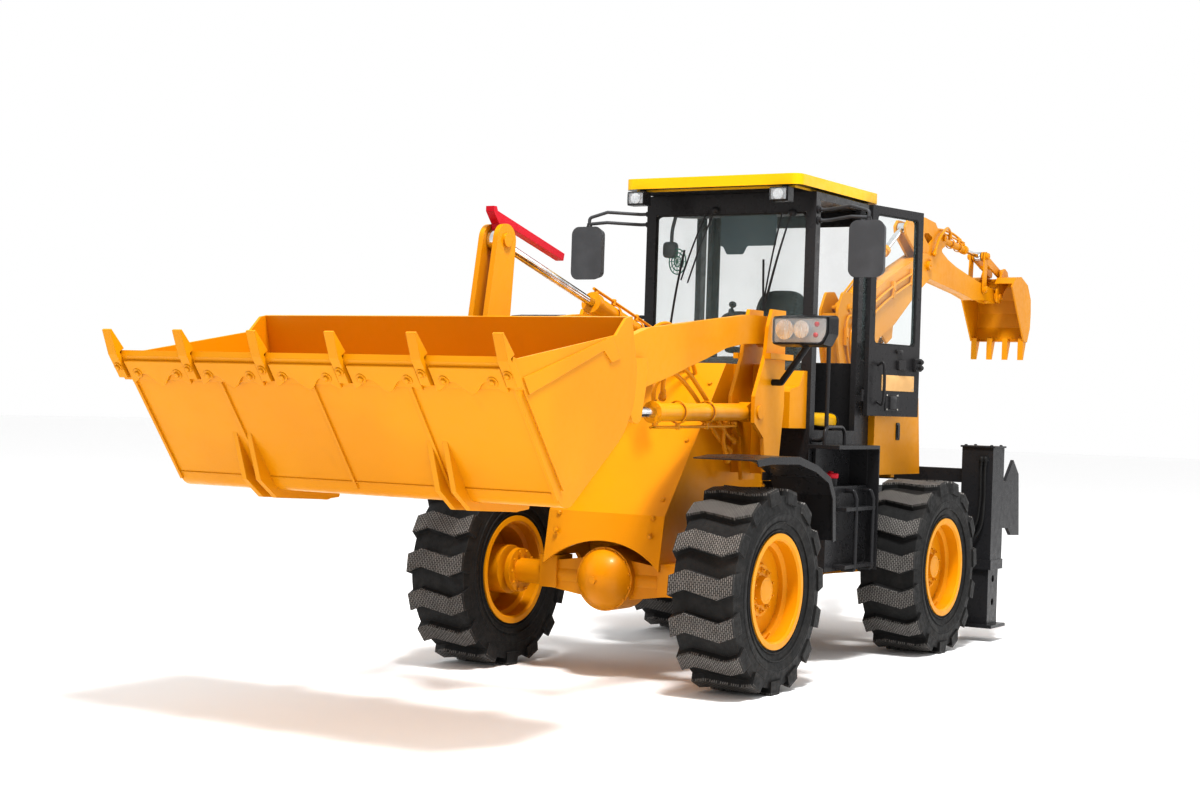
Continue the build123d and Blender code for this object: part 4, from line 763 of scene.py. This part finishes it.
def mirror_glass(side):
    """The mirror's silvered face in its shell, and the clamps that hold its arms."""
    hand = HANDS[side]
    face = near(side * MIRROR_X, 1.3005, 2.650)
    outline = rounded(oblong(lambda u, v: face + (u, 0, v), (-0.090, 0.090), (-0.150, 0.150)), 0.040)
    Piece().slab(outline, (0, 0.003, 0)).done(
        f"mirror_face_{hand}", SILVER, REAR, smooth=40, slot="mirror_plastic")
    clamp = Piece().spin(near(side * MIRROR_X, 1.26, 2.800), (0, 0, 1), (
        (0, 0.012), (0, 0.021), (0.035, 0.021), (0.040, 0.017), (0.055, 0.016), (0.055, 0.0115)), 20)
    for z in (2.850, 2.920):
        flange = ((0, 0.026), (0.006, 0.026), (0.010, 0.018), (0.022, 0.018))
        clamp.spin(near(side * PILLAR_X, 1.380, z), (side, 0, 0), flange, 20)
    clamp.done(f"mirror_clamps_{hand}", BLACK, REAR, smooth=40)


for side in (1, -1):
    headlamp(side)
    work_lamp(side)
    mirror_glass(side)


# ---- cab
def seals():
    """Rubber strips round the front and rear panes, each a round section along the opening's edge."""
    made = Piece()
    low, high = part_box("cab_glass")
    front = low.y + 0.003
    rear = high.y - 0.003
    for y, sill in ((front, 1.83), (rear, 1.95)):
        line = rounded(oblong(lambda u, v: (u, y, v), (-0.555, 0.555), (sill, 2.905)), 0.05)
        made.tube(looped(line), 0.009, 8, 1)
    made.done("window_seals", HOSE, REAR)


def wipers():
    """Three wipers: a motor cap, two thin bowed arms and the blade on their end."""
    made = Piece()
    glass_y = 1.355
    sets = (
        (((-0.10, 2.93), (-0.29, 2.45)), ((-0.16, 2.93), (-0.345, 2.47)), ((-0.327, 2.67), (-0.426, 2.12))),
        (((0.46, 2.90), (0.290, 2.33)), ((0.39, 2.90), (0.280, 2.36)), ((0.262, 2.60), (0.288, 2.05))),
        (((0.46, 2.90), (0.300, 2.34)), ((0.300, 2.34), (0.208, 1.99)), ((0.250, 2.14), (0.205, 1.97))),
    )
    for arms in sets:
        for ((x0, z0), (x1, z1)), thick, lift in zip(arms, (0.0055, 0.0055, 0.0075), (0.032, 0.024, 0.016)):
            y = glass_y - lift
            bowed = near((x0 + x1) / 2, y - 0.010, (z0 + z1) / 2)
            made.tube((near(x0, y, z0), bowed, near(x1, y + 0.004, z1)), thick, 8, 8)
        x, z = arms[0][0]
        made.spin(near(x, glass_y - 0.005, z), FORWARD, ((0, 0.024), (0.028, 0.022), (0.036, 0.012)), 20)
    made.done("wipers", BLACK, REAR)


def handles():
    """Grab rails beside the front pillars, each a bent tube on two welded feet."""
    made = Piece()
    for side in (1, -1):
        line = (
            (0.622, 2.22), (0.690, 2.22), (0.722, 2.18), (0.726, 2.05),
            (0.726, 1.62), (0.722, 1.48), (0.690, 1.44), (0.622, 1.44),
        )
        made.tube([near(side * x, 1.385, z) for x, z in line], 0.0135, 14, 6)
        for z in (2.22, 1.44):
            made.spin(near(side * PILLAR_X, 1.385, z), (side, 0, 0), ((-0.003, 0.028), (0.005, 0.028)), 20)
    made.done("grab_rails", BLACK, REAR)


def swell(middle, half, power=3.2, rows=28, columns=44):
    """A rounded block: the superellipsoid |x|^n + |y|^n + |z|^n = 1, stretched to its halves."""
    tall = np.linspace(-np.pi / 2 + 1e-3, np.pi / 2 - 1e-3, rows)[:, None]
    turn = turns(columns)[None]

    def bulge(value):
        """A cosine or sine raised to 2 / n, with its sign kept."""
        return np.sign(value) * np.abs(value) ** (2 / power)

    points = np.stack((
        bulge(np.cos(tall)) * bulge(np.cos(turn)), bulge(np.cos(tall)) * bulge(np.sin(turn)),
        bulge(np.sin(tall)) + np.zeros_like(turn),
    ), axis=-1)
    return np.array(middle) + points * np.array(half)


def cab_inside():
    """The dashboard, the blind with its tab, the header, the fan and its guard, the tool roll."""
    dash = Piece()
    for middle, half, power in (
        ((0.0, 1.475, 1.885), (0.27, 0.105, 0.085), 3.0),
        ((0.40, 1.475, 1.865), (0.145, 0.10, 0.075), 3.4),
        ((-0.43, 1.465, 1.83), (0.10, 0.09, 0.05), 3.4),
    ):
        dash.grid(swell(near(*middle), half, power))
    dash.done("dashboard", TRIM, REAR, smooth=70)
    sheet = [near(x, 1.435, z) for x, z in (
        (-0.11, 2.90), (0.30, 2.90), (0.30, 2.70), (0.09, 2.70),
        (0.06, 2.645), (-0.06, 2.645), (-0.09, 2.70), (-0.11, 2.70),
    )]
    Piece().slab(rounded(sheet, 0.012), (0, 0.006, 0)).done("sun_blind", BLIND, REAR, smooth=30)
    header = swell(near(0.0, 1.50, 2.945), (0.54, 0.10, 0.045), 5.0)
    Piece().grid(header).done("header_panel", TRIM, REAR, smooth=70)
    fan = Piece()
    fan.grid(swell(near(-0.485, 1.43, 2.68), (0.050, 0.032, 0.055), 4.0))
    fan.tube([near(-0.485, 1.44, 2.73), near(-0.48, 1.44, 2.82), near(-0.46, 1.45, 2.92)], 0.012, 10, 6)
    fan.done("fan_body", CASING, REAR)
    guard = Piece()
    turn = np.linspace(0, 2 * np.pi, 25)
    for r in (0.085, 0.060, 0.034):
        ring = [near(-0.42 + 0.75 * r * math.cos(a), 1.415, 2.60 + r * math.sin(a)) for a in turn]
        guard.tube(ring, 0.004, 8, 2)
    for a in np.arange(0, 2 * np.pi, np.pi / 6):
        tip = near(-0.42 + 0.064 * math.cos(a), 1.415, 2.60 + 0.085 * math.sin(a))
        guard.tube([near(-0.42, 1.405, 2.60), tip], 0.0025, 6, 2)
    guard.done("fan_guard", FAN_GREEN, REAR)
    roll = swell(near(0.47, 1.80, 1.56), (0.085, 0.19, 0.055), 3.6)
    Piece().grid(roll).done("tool_roll", ROOF, REAR, smooth=70)
    loop = [near(0.47 + 0.088 * math.cos(a), 1.93, 1.56 + 0.058 * math.sin(a)) for a in turn]
    Piece().tube(loop, 0.007, 6, 2).done("tool_roll_strap", HOSE, REAR)


def wheel_knob():
    """A spinner knob: a clamp on the rim, a short neck and a pressed ball, turned as one profile."""
    axis = unit(np.array(JOINTS["steering"]["axis"], float))
    back = unit(np.cross((1, 0, 0), axis))
    out = unit(back * 0.92 + np.array((-0.38, 0, 0)))
    place = middle_of("steering_wheel") + 0.185 * out + axis * 0.022
    Piece().spin(place, axis, (
        (-0.022, 0.019), (0.012, 0.019), (0.016, 0.010), (0.030, 0.009), (0.036, 0.020), (0.046, 0.026),
        (0.060, 0.024), (0.068, 0.014),
    ), 24).done("steering_knob", TRIM, "steering_wheel")


seals()
wipers()
handles()
cab_inside()
wheel_knob()


CLOTH_FRAMES = 20
PLUMP_CAP = 0.012


def plumped(cushion):
    """Blows a closed pad up as cloth and lets no point move further than the cap."""
    even = cushion.modifiers.new("even", "REMESH")
    even.mode = "VOXEL"
    even.voxel_size = 0.006
    graph = bpy.context.evaluated_depsgraph_get()
    skin = bpy.data.meshes.new_from_object(cushion.evaluated_get(graph))
    cushion.modifiers.clear()
    cushion.data = skin
    start = np.empty(len(skin.vertices) * 3, np.float32)
    skin.vertices.foreach_get("co", start)
    cloth = cushion.modifiers.new("cloth", "CLOTH")
    cloth.settings.use_pressure = True
    cloth.settings.uniform_pressure_force = 4.0
    cloth.settings.effector_weights.gravity = 0.0
    cloth.settings.quality = 4
    cloth.point_cache.frame_start = 1
    cloth.point_cache.frame_end = CLOTH_FRAMES
    for step in range(1, CLOTH_FRAMES + 1):
        bpy.context.scene.frame_set(step)
    graph = bpy.context.evaluated_depsgraph_get()
    blown = np.empty_like(start)
    cushion.evaluated_get(graph).data.vertices.foreach_get("co", blown)
    cushion.modifiers.clear()
    bpy.context.scene.frame_set(1)
    move = (blown - start).reshape(-1, 3)
    far = np.linalg.norm(move, axis=1, keepdims=True)
    return start.reshape(-1, 3) + move * np.minimum(1.0, PLUMP_CAP / np.maximum(far, 1e-9))


def channelled(points, middle, lines, normal, depth):
    """Sinks sewn lines into a pad: a narrow bell along each line, with fine ripples beside it."""
    offset = points[:, :1] - middle[0] - np.array(lines)
    way = np.array(normal, float)
    facing = np.clip(((points - middle) @ way) / 0.04, 0, 1)[:, None]
    sink = np.exp(-(offset / 0.009) ** 2).sum(1, keepdims=True)
    beside = np.exp(-(offset / 0.03) ** 2).sum(1, keepdims=True)
    ripple = 0.0016 * np.sin(points[:, 2:] * 210 + points[:, 1:2] * 170) * beside
    return points - way * (depth * sink + ripple) * facing


def seat_cushions():
    """A crowned cushion and back, each a superellipsoid blown up as cloth and then sewn."""
    low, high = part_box("seat")
    top = low.z + (high.z - low.z) * 0.43
    base_middle = near(0, 1.925, top - 0.045)
    back_middle = near(0, 2.145, low.z + 0.69)
    tilt = 0.12
    back = swell((0, 0, 0), (0.205, 0.050, 0.275), 3.4, 40, 60)
    back = back_middle + back + back[..., 2:] * (0, tilt, 0)
    pads = (
        ("seat_cushion", swell(base_middle, (0.220, 0.212, 0.050), 3.6, 40, 60), base_middle,
         (-0.125, 0.0, 0.125), (0, 0, 1), 0.012),
        ("seat_back", back, back_middle, (-0.12, 0.12), (0, -1, tilt), 0.012),
    )
    for name, form, middle, lines, normal, depth in pads:
        pad = Piece().grid(form).done(name, VINYL, REAR, smooth=80)
        points = channelled(plumped(pad), middle, lines, normal, depth)
        pad.data.vertices.foreach_set("co", points.astype(np.float32).ravel())
        pad.data.polygons.foreach_set("use_smooth", np.ones(len(pad.data.polygons), bool))
        pad.data.update()
        softer = pad.modifiers.new("softer", "SUBSURF")
        softer.levels = softer.render_levels = 1
        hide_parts("seat")
    stand = Piece()
    stand.grid(swell(near(0, 1.925, low.z + 0.275), (0.20, 0.18, 0.055), 6.0))
    stand.grid(swell(near(0, 1.930, low.z + 0.115), (0.165, 0.15, 0.125), 5.0))
    for side in (1, -1):
        stand.grid(swell(near(side * 0.262, 1.99, top + 0.105), (0.028, 0.135, 0.024), 3.0))
        stand.tube((near(side * 0.225, 2.11, top + 0.02), near(side * 0.262, 2.10, top + 0.06),
                    near(side * 0.262, 2.08, top + 0.10)), 0.013, 10, 6)
    stand.done("seat_stand", TRIM, REAR)


seat_cushions()

# ---- chassis, door and hood
BANJO = 0.176
DOOR_HINGE = (0.668, 2.065)
DOOR_ANGLE = math.radians(10.6)
DOOR_FACE = 0.027


def fixings():
    """Bolt heads on the front plate, the apron and the towers, the legs' caps, the filler caps."""
    front = Piece()
    for side in (1, -1):
        front.bolt(near(side * 0.325, -0.148, 0.86), FORWARD, 0.012)
        front.bolt(near(side * 0.325, -0.115, 0.965), (0, -1, 0.3), 0.012)
        for t in (0.10, 0.48, 0.86):
            front.bolt(near(side * 0.345, -0.111 + 0.71 * t, 0.981 + 0.92 * t), (0, -0.79, 0.61), 0.011)
        for z in (1.02, 1.16, 1.48, 2.04):
            front.bolt(near(side * 0.6655, 0.62, z), (side, 0, 0), 0.012)
    front.done("front_frame_bolts", YELLOW, FRONT, smooth=30)
    caps = Piece()
    for side in (1, -1):
        corners = oblong(lambda u, v: near(side * u, v, 1.400), (0.852, 1.113), (3.437, 3.698))
        caps.slab(rounded(corners, 0.012), (0, 0, 0.012))
        for place in oblong(lambda u, v: near(side * u, v, 1.412), (0.885, 1.08), (3.47, 3.665)):
            caps.bolt(place, (0, 0, 1), 0.009)
    caps.done("leg_caps", BLACK, REAR, smooth=30)
    cap = Piece()
    for side in (1, -1):
        cap.spin(near(side * 0.700, 1.53, 1.193), (0, 0, 1), (
            (0, 0.047), (0.006, 0.052), (0.028, 0.052), (0.034, 0.046), (0.034, 0.020), (0.044, 0.016),
            (0.046, 0.010),
        ), 32)
    cap.done("filler_caps", RED, REAR, smooth=40)


def axle_detail(y, dome, body, name):
    """Studs in a circle round the banjo housing, and in a circle round each hub's flange."""
    made = Piece()
    for angle in turns(14, 0.5):
        place = near(BANJO * math.cos(angle), y + dome * 0.112, AXLE_Z + BANJO * math.sin(angle))
        made.bolt(place, (0, dome, 0), 0.009, False)
    for side in (1, -1):
        for angle in turns(10):
            along = y + STUD_CIRCLE * math.cos(angle)
            place = near(side * 0.655, along, AXLE_Z + STUD_CIRCLE * math.sin(angle))
            made.bolt(place, (-side, 0, 0), 0.010, False)
    made.done(name, YELLOW, body, smooth=30)


def on_door(u, z, out):
    """A place on the open door: along it from the hinge, up, and out from its shown face."""
    x, y = DOOR_HINGE
    sine = math.sin(DOOR_ANGLE)
    cosine = math.cos(DOOR_ANGLE)
    return near(x + u * sine + out * cosine, y + u * cosine - out * sine, z)


def door_parts():
    """Latch case with its screws, striker, window clips, pull rail, a plain card and the seals."""
    out = on_door(0, 0, 1) - on_door(0, 0, 0)

    def plate(wide, tall, radius, lift=DOOR_FACE):
        """A rounded rectangle on the door."""
        return rounded(oblong(lambda u, v: on_door(u, v, lift), wide, tall), radius)

    made = Piece()
    for wide, tall, thick in (
        ((0.235, 0.395), (1.640, 1.760), 0.006), ((0.365, 0.455), (1.925, 1.990), 0.022),
        ((0.560, 0.640), (1.920, 2.010), 0.030), ((0.350, 0.420), (2.035, 2.062), 0.018),
        ((0.275, 0.355), (1.655, 1.745), 0.020),
    ):
        made.slab(plate(wide, tall, 0.010), out * thick, 0.003)
    for z in (1.945, 1.985):
        knob = ((0, 0.013), (0.018, 0.013), (0.026, 0.018), (0.034, 0.012))
        made.spin(on_door(0.60, z, DOOR_FACE + 0.028), out, knob, 20)
    rail = ((1.70, 0), (1.70, 0.05), (1.95, 0.05), (1.95, 0))
    made.tube([on_door(0.14, z, DOOR_FACE + lift) for z, lift in rail], 0.010, 10, 6)
    made.done("door_latch", BLACK, "door", smooth=40)
    screws = Piece()
    for u in (0.250, 0.380):
        for z in (1.652, 1.748):
            screws.bolt(on_door(u, z, DOOR_FACE + 0.006), out, 0.006, False)
    for z in (1.792, 1.872):
        for u in (0.20, 0.57):
            rivet = ((0, 0.005), (0.003, 0.004), (0.004, 0.001))
            screws.spin(on_door(u, z, DOOR_FACE + 0.002), out, rivet, 10)
    screws.done("door_screws", ZINC, "door", smooth=30)
    card = Piece().slab(plate((0.185, 0.585), (1.778, 1.886), 0.006), out * 0.003)
    card.done("door_card", CARD, "door", smooth=30)
    loop = looped(plate((0.088, 0.587), (2.092, 2.968), 0.04, 0.010))
    for name, shift in (("out", 0.010), ("in", -0.010)):
        seal = Piece().tube(loop + out * shift, 0.007, 8, 1)
        seal.done(f"door_seal_{name}", HOSE, "door")


def hood_parts():
    """Latches on the hood's sides, and pressed gills whose lip follows the root of a cosine."""
    made = Piece()
    for side in (1, -1):
        for wide, tall, thick in (
            ((2.66, 2.72), (1.44, 1.56), 0.006), ((2.672, 2.708), (1.455, 1.545), 0.012),
        ):
            pocket = rounded(oblong(lambda u, v: near(side * 0.6705, u, v), wide, tall), 0.008)
            made.slab(pocket, (side * thick, 0, 0), 0.002)
    made.done("hood_latches", BLACK, REAR, smooth=30)
    gills = Piece()
    u = np.linspace(-0.16, 0.16, 24)
    lip = 0.012 * np.cos(u / 0.16 * np.pi / 2) ** 0.5
    flat = np.zeros_like(u)
    for z in 1.36 + 0.035 * np.arange(9):
        for side in (1, -1):
            middle = near(side * 0.22, 3.12 - (z - 1.2) / 0.54 * 0.06, z)
            rows = ((flat - 0.003, -0.012), (lip - 0.002, 0.0), (flat - 0.008, 0.006))
            lines = [middle + np.stack((u, out, flat + rise), axis=-1) for out, rise in rows]
            gills.grid(np.stack(lines, axis=1))
    gills.done("hood_louvres", YELLOW, REAR, smooth=50)


fixings()
axle_detail(0.0, -1, FRONT, "front_axle_studs")
axle_detail(REAR_AXLE_Y - FRONT_AXLE_Y, 1, REAR, "rear_axle_studs")
door_parts()
hood_parts()

# ---- floor, light and camera
def studio():
    """A pale floor that fades into the backdrop, a broad overhead light and two soft fills."""
    f = Finish("floor_paper")
    f.end(Base_Color=(0.97, 0.97, 0.97, 1), Roughness=f.ramp(f.noise(3.0), 0.3, 0.7, 0.86, 0.94))
    bpy.ops.mesh.primitive_plane_add(size=160, location=(0, 0, 0))
    floor = bpy.context.object
    floor.name = "studio_floor"
    floor.data.materials.append(f.material)
    world = bpy.context.scene.world or bpy.data.worlds.new("studio")
    bpy.context.scene.world = world
    world.use_nodes = True
    sky = world.node_tree.nodes["Background"]
    sky.inputs["Color"].default_value = (1.0, 1.0, 1.0, 1)
    sky.inputs["Strength"].default_value = 1.0
    lights = (  # name, place, aim, size, power
        ("key", (3.5, -5.5, 13.0), (0, -1.0, 1.0), 2.4, 2500),
        ("left_fill", (-11.0, -8.0, 5.0), (0, -1.0, 1.2), 7.0, 60),
        ("rear_fill", (6.0, 11.0, 6.0), (0, 2.0, 1.5), 6.0, 120),
    )
    for name, place, aim, size, power in lights:
        lamp = bpy.data.lights.new(name, "AREA")
        lamp.size = size
        lamp.energy = power
        holder = bpy.data.objects.new(name, lamp)
        holder.location = place
        holder.rotation_euler = (Vector(aim) - Vector(place)).to_track_quat("-Z", "Y").to_euler()
        bpy.context.collection.objects.link(holder)


def camera():
    """Eye height, a little to the machine's left of its nose, turned and tilted as set here."""
    place = Vector((5.947, FRONT_AXLE_Y - 9.993, 1.615))
    yaw, pitch, roll = 0.5467, 0.0029, 0.0319
    look = Vector((-math.sin(yaw) * math.cos(pitch), math.cos(yaw) * math.cos(pitch), math.sin(pitch)))
    level = Vector((math.cos(yaw), math.sin(yaw), 0))
    upright = level.cross(look)
    right = level * math.cos(roll) + upright * math.sin(roll)
    up = upright * math.cos(roll) - level * math.sin(roll)
    data = bpy.data.cameras.new("camera")
    data.sensor_width = 36.0
    data.lens = 58.23
    data.clip_end = 400
    made = bpy.data.objects.new("camera", data)
    made.matrix_world = Matrix.Translation(place) @ Matrix((right, up, -look)).transposed().to_4x4()
    bpy.context.collection.objects.link(made)
    bpy.context.scene.camera = made


studio()
camera()
view = bpy.context.scene.view_settings
view.view_transform = "Standard"
view.look = "None"
view.gamma = 0.80
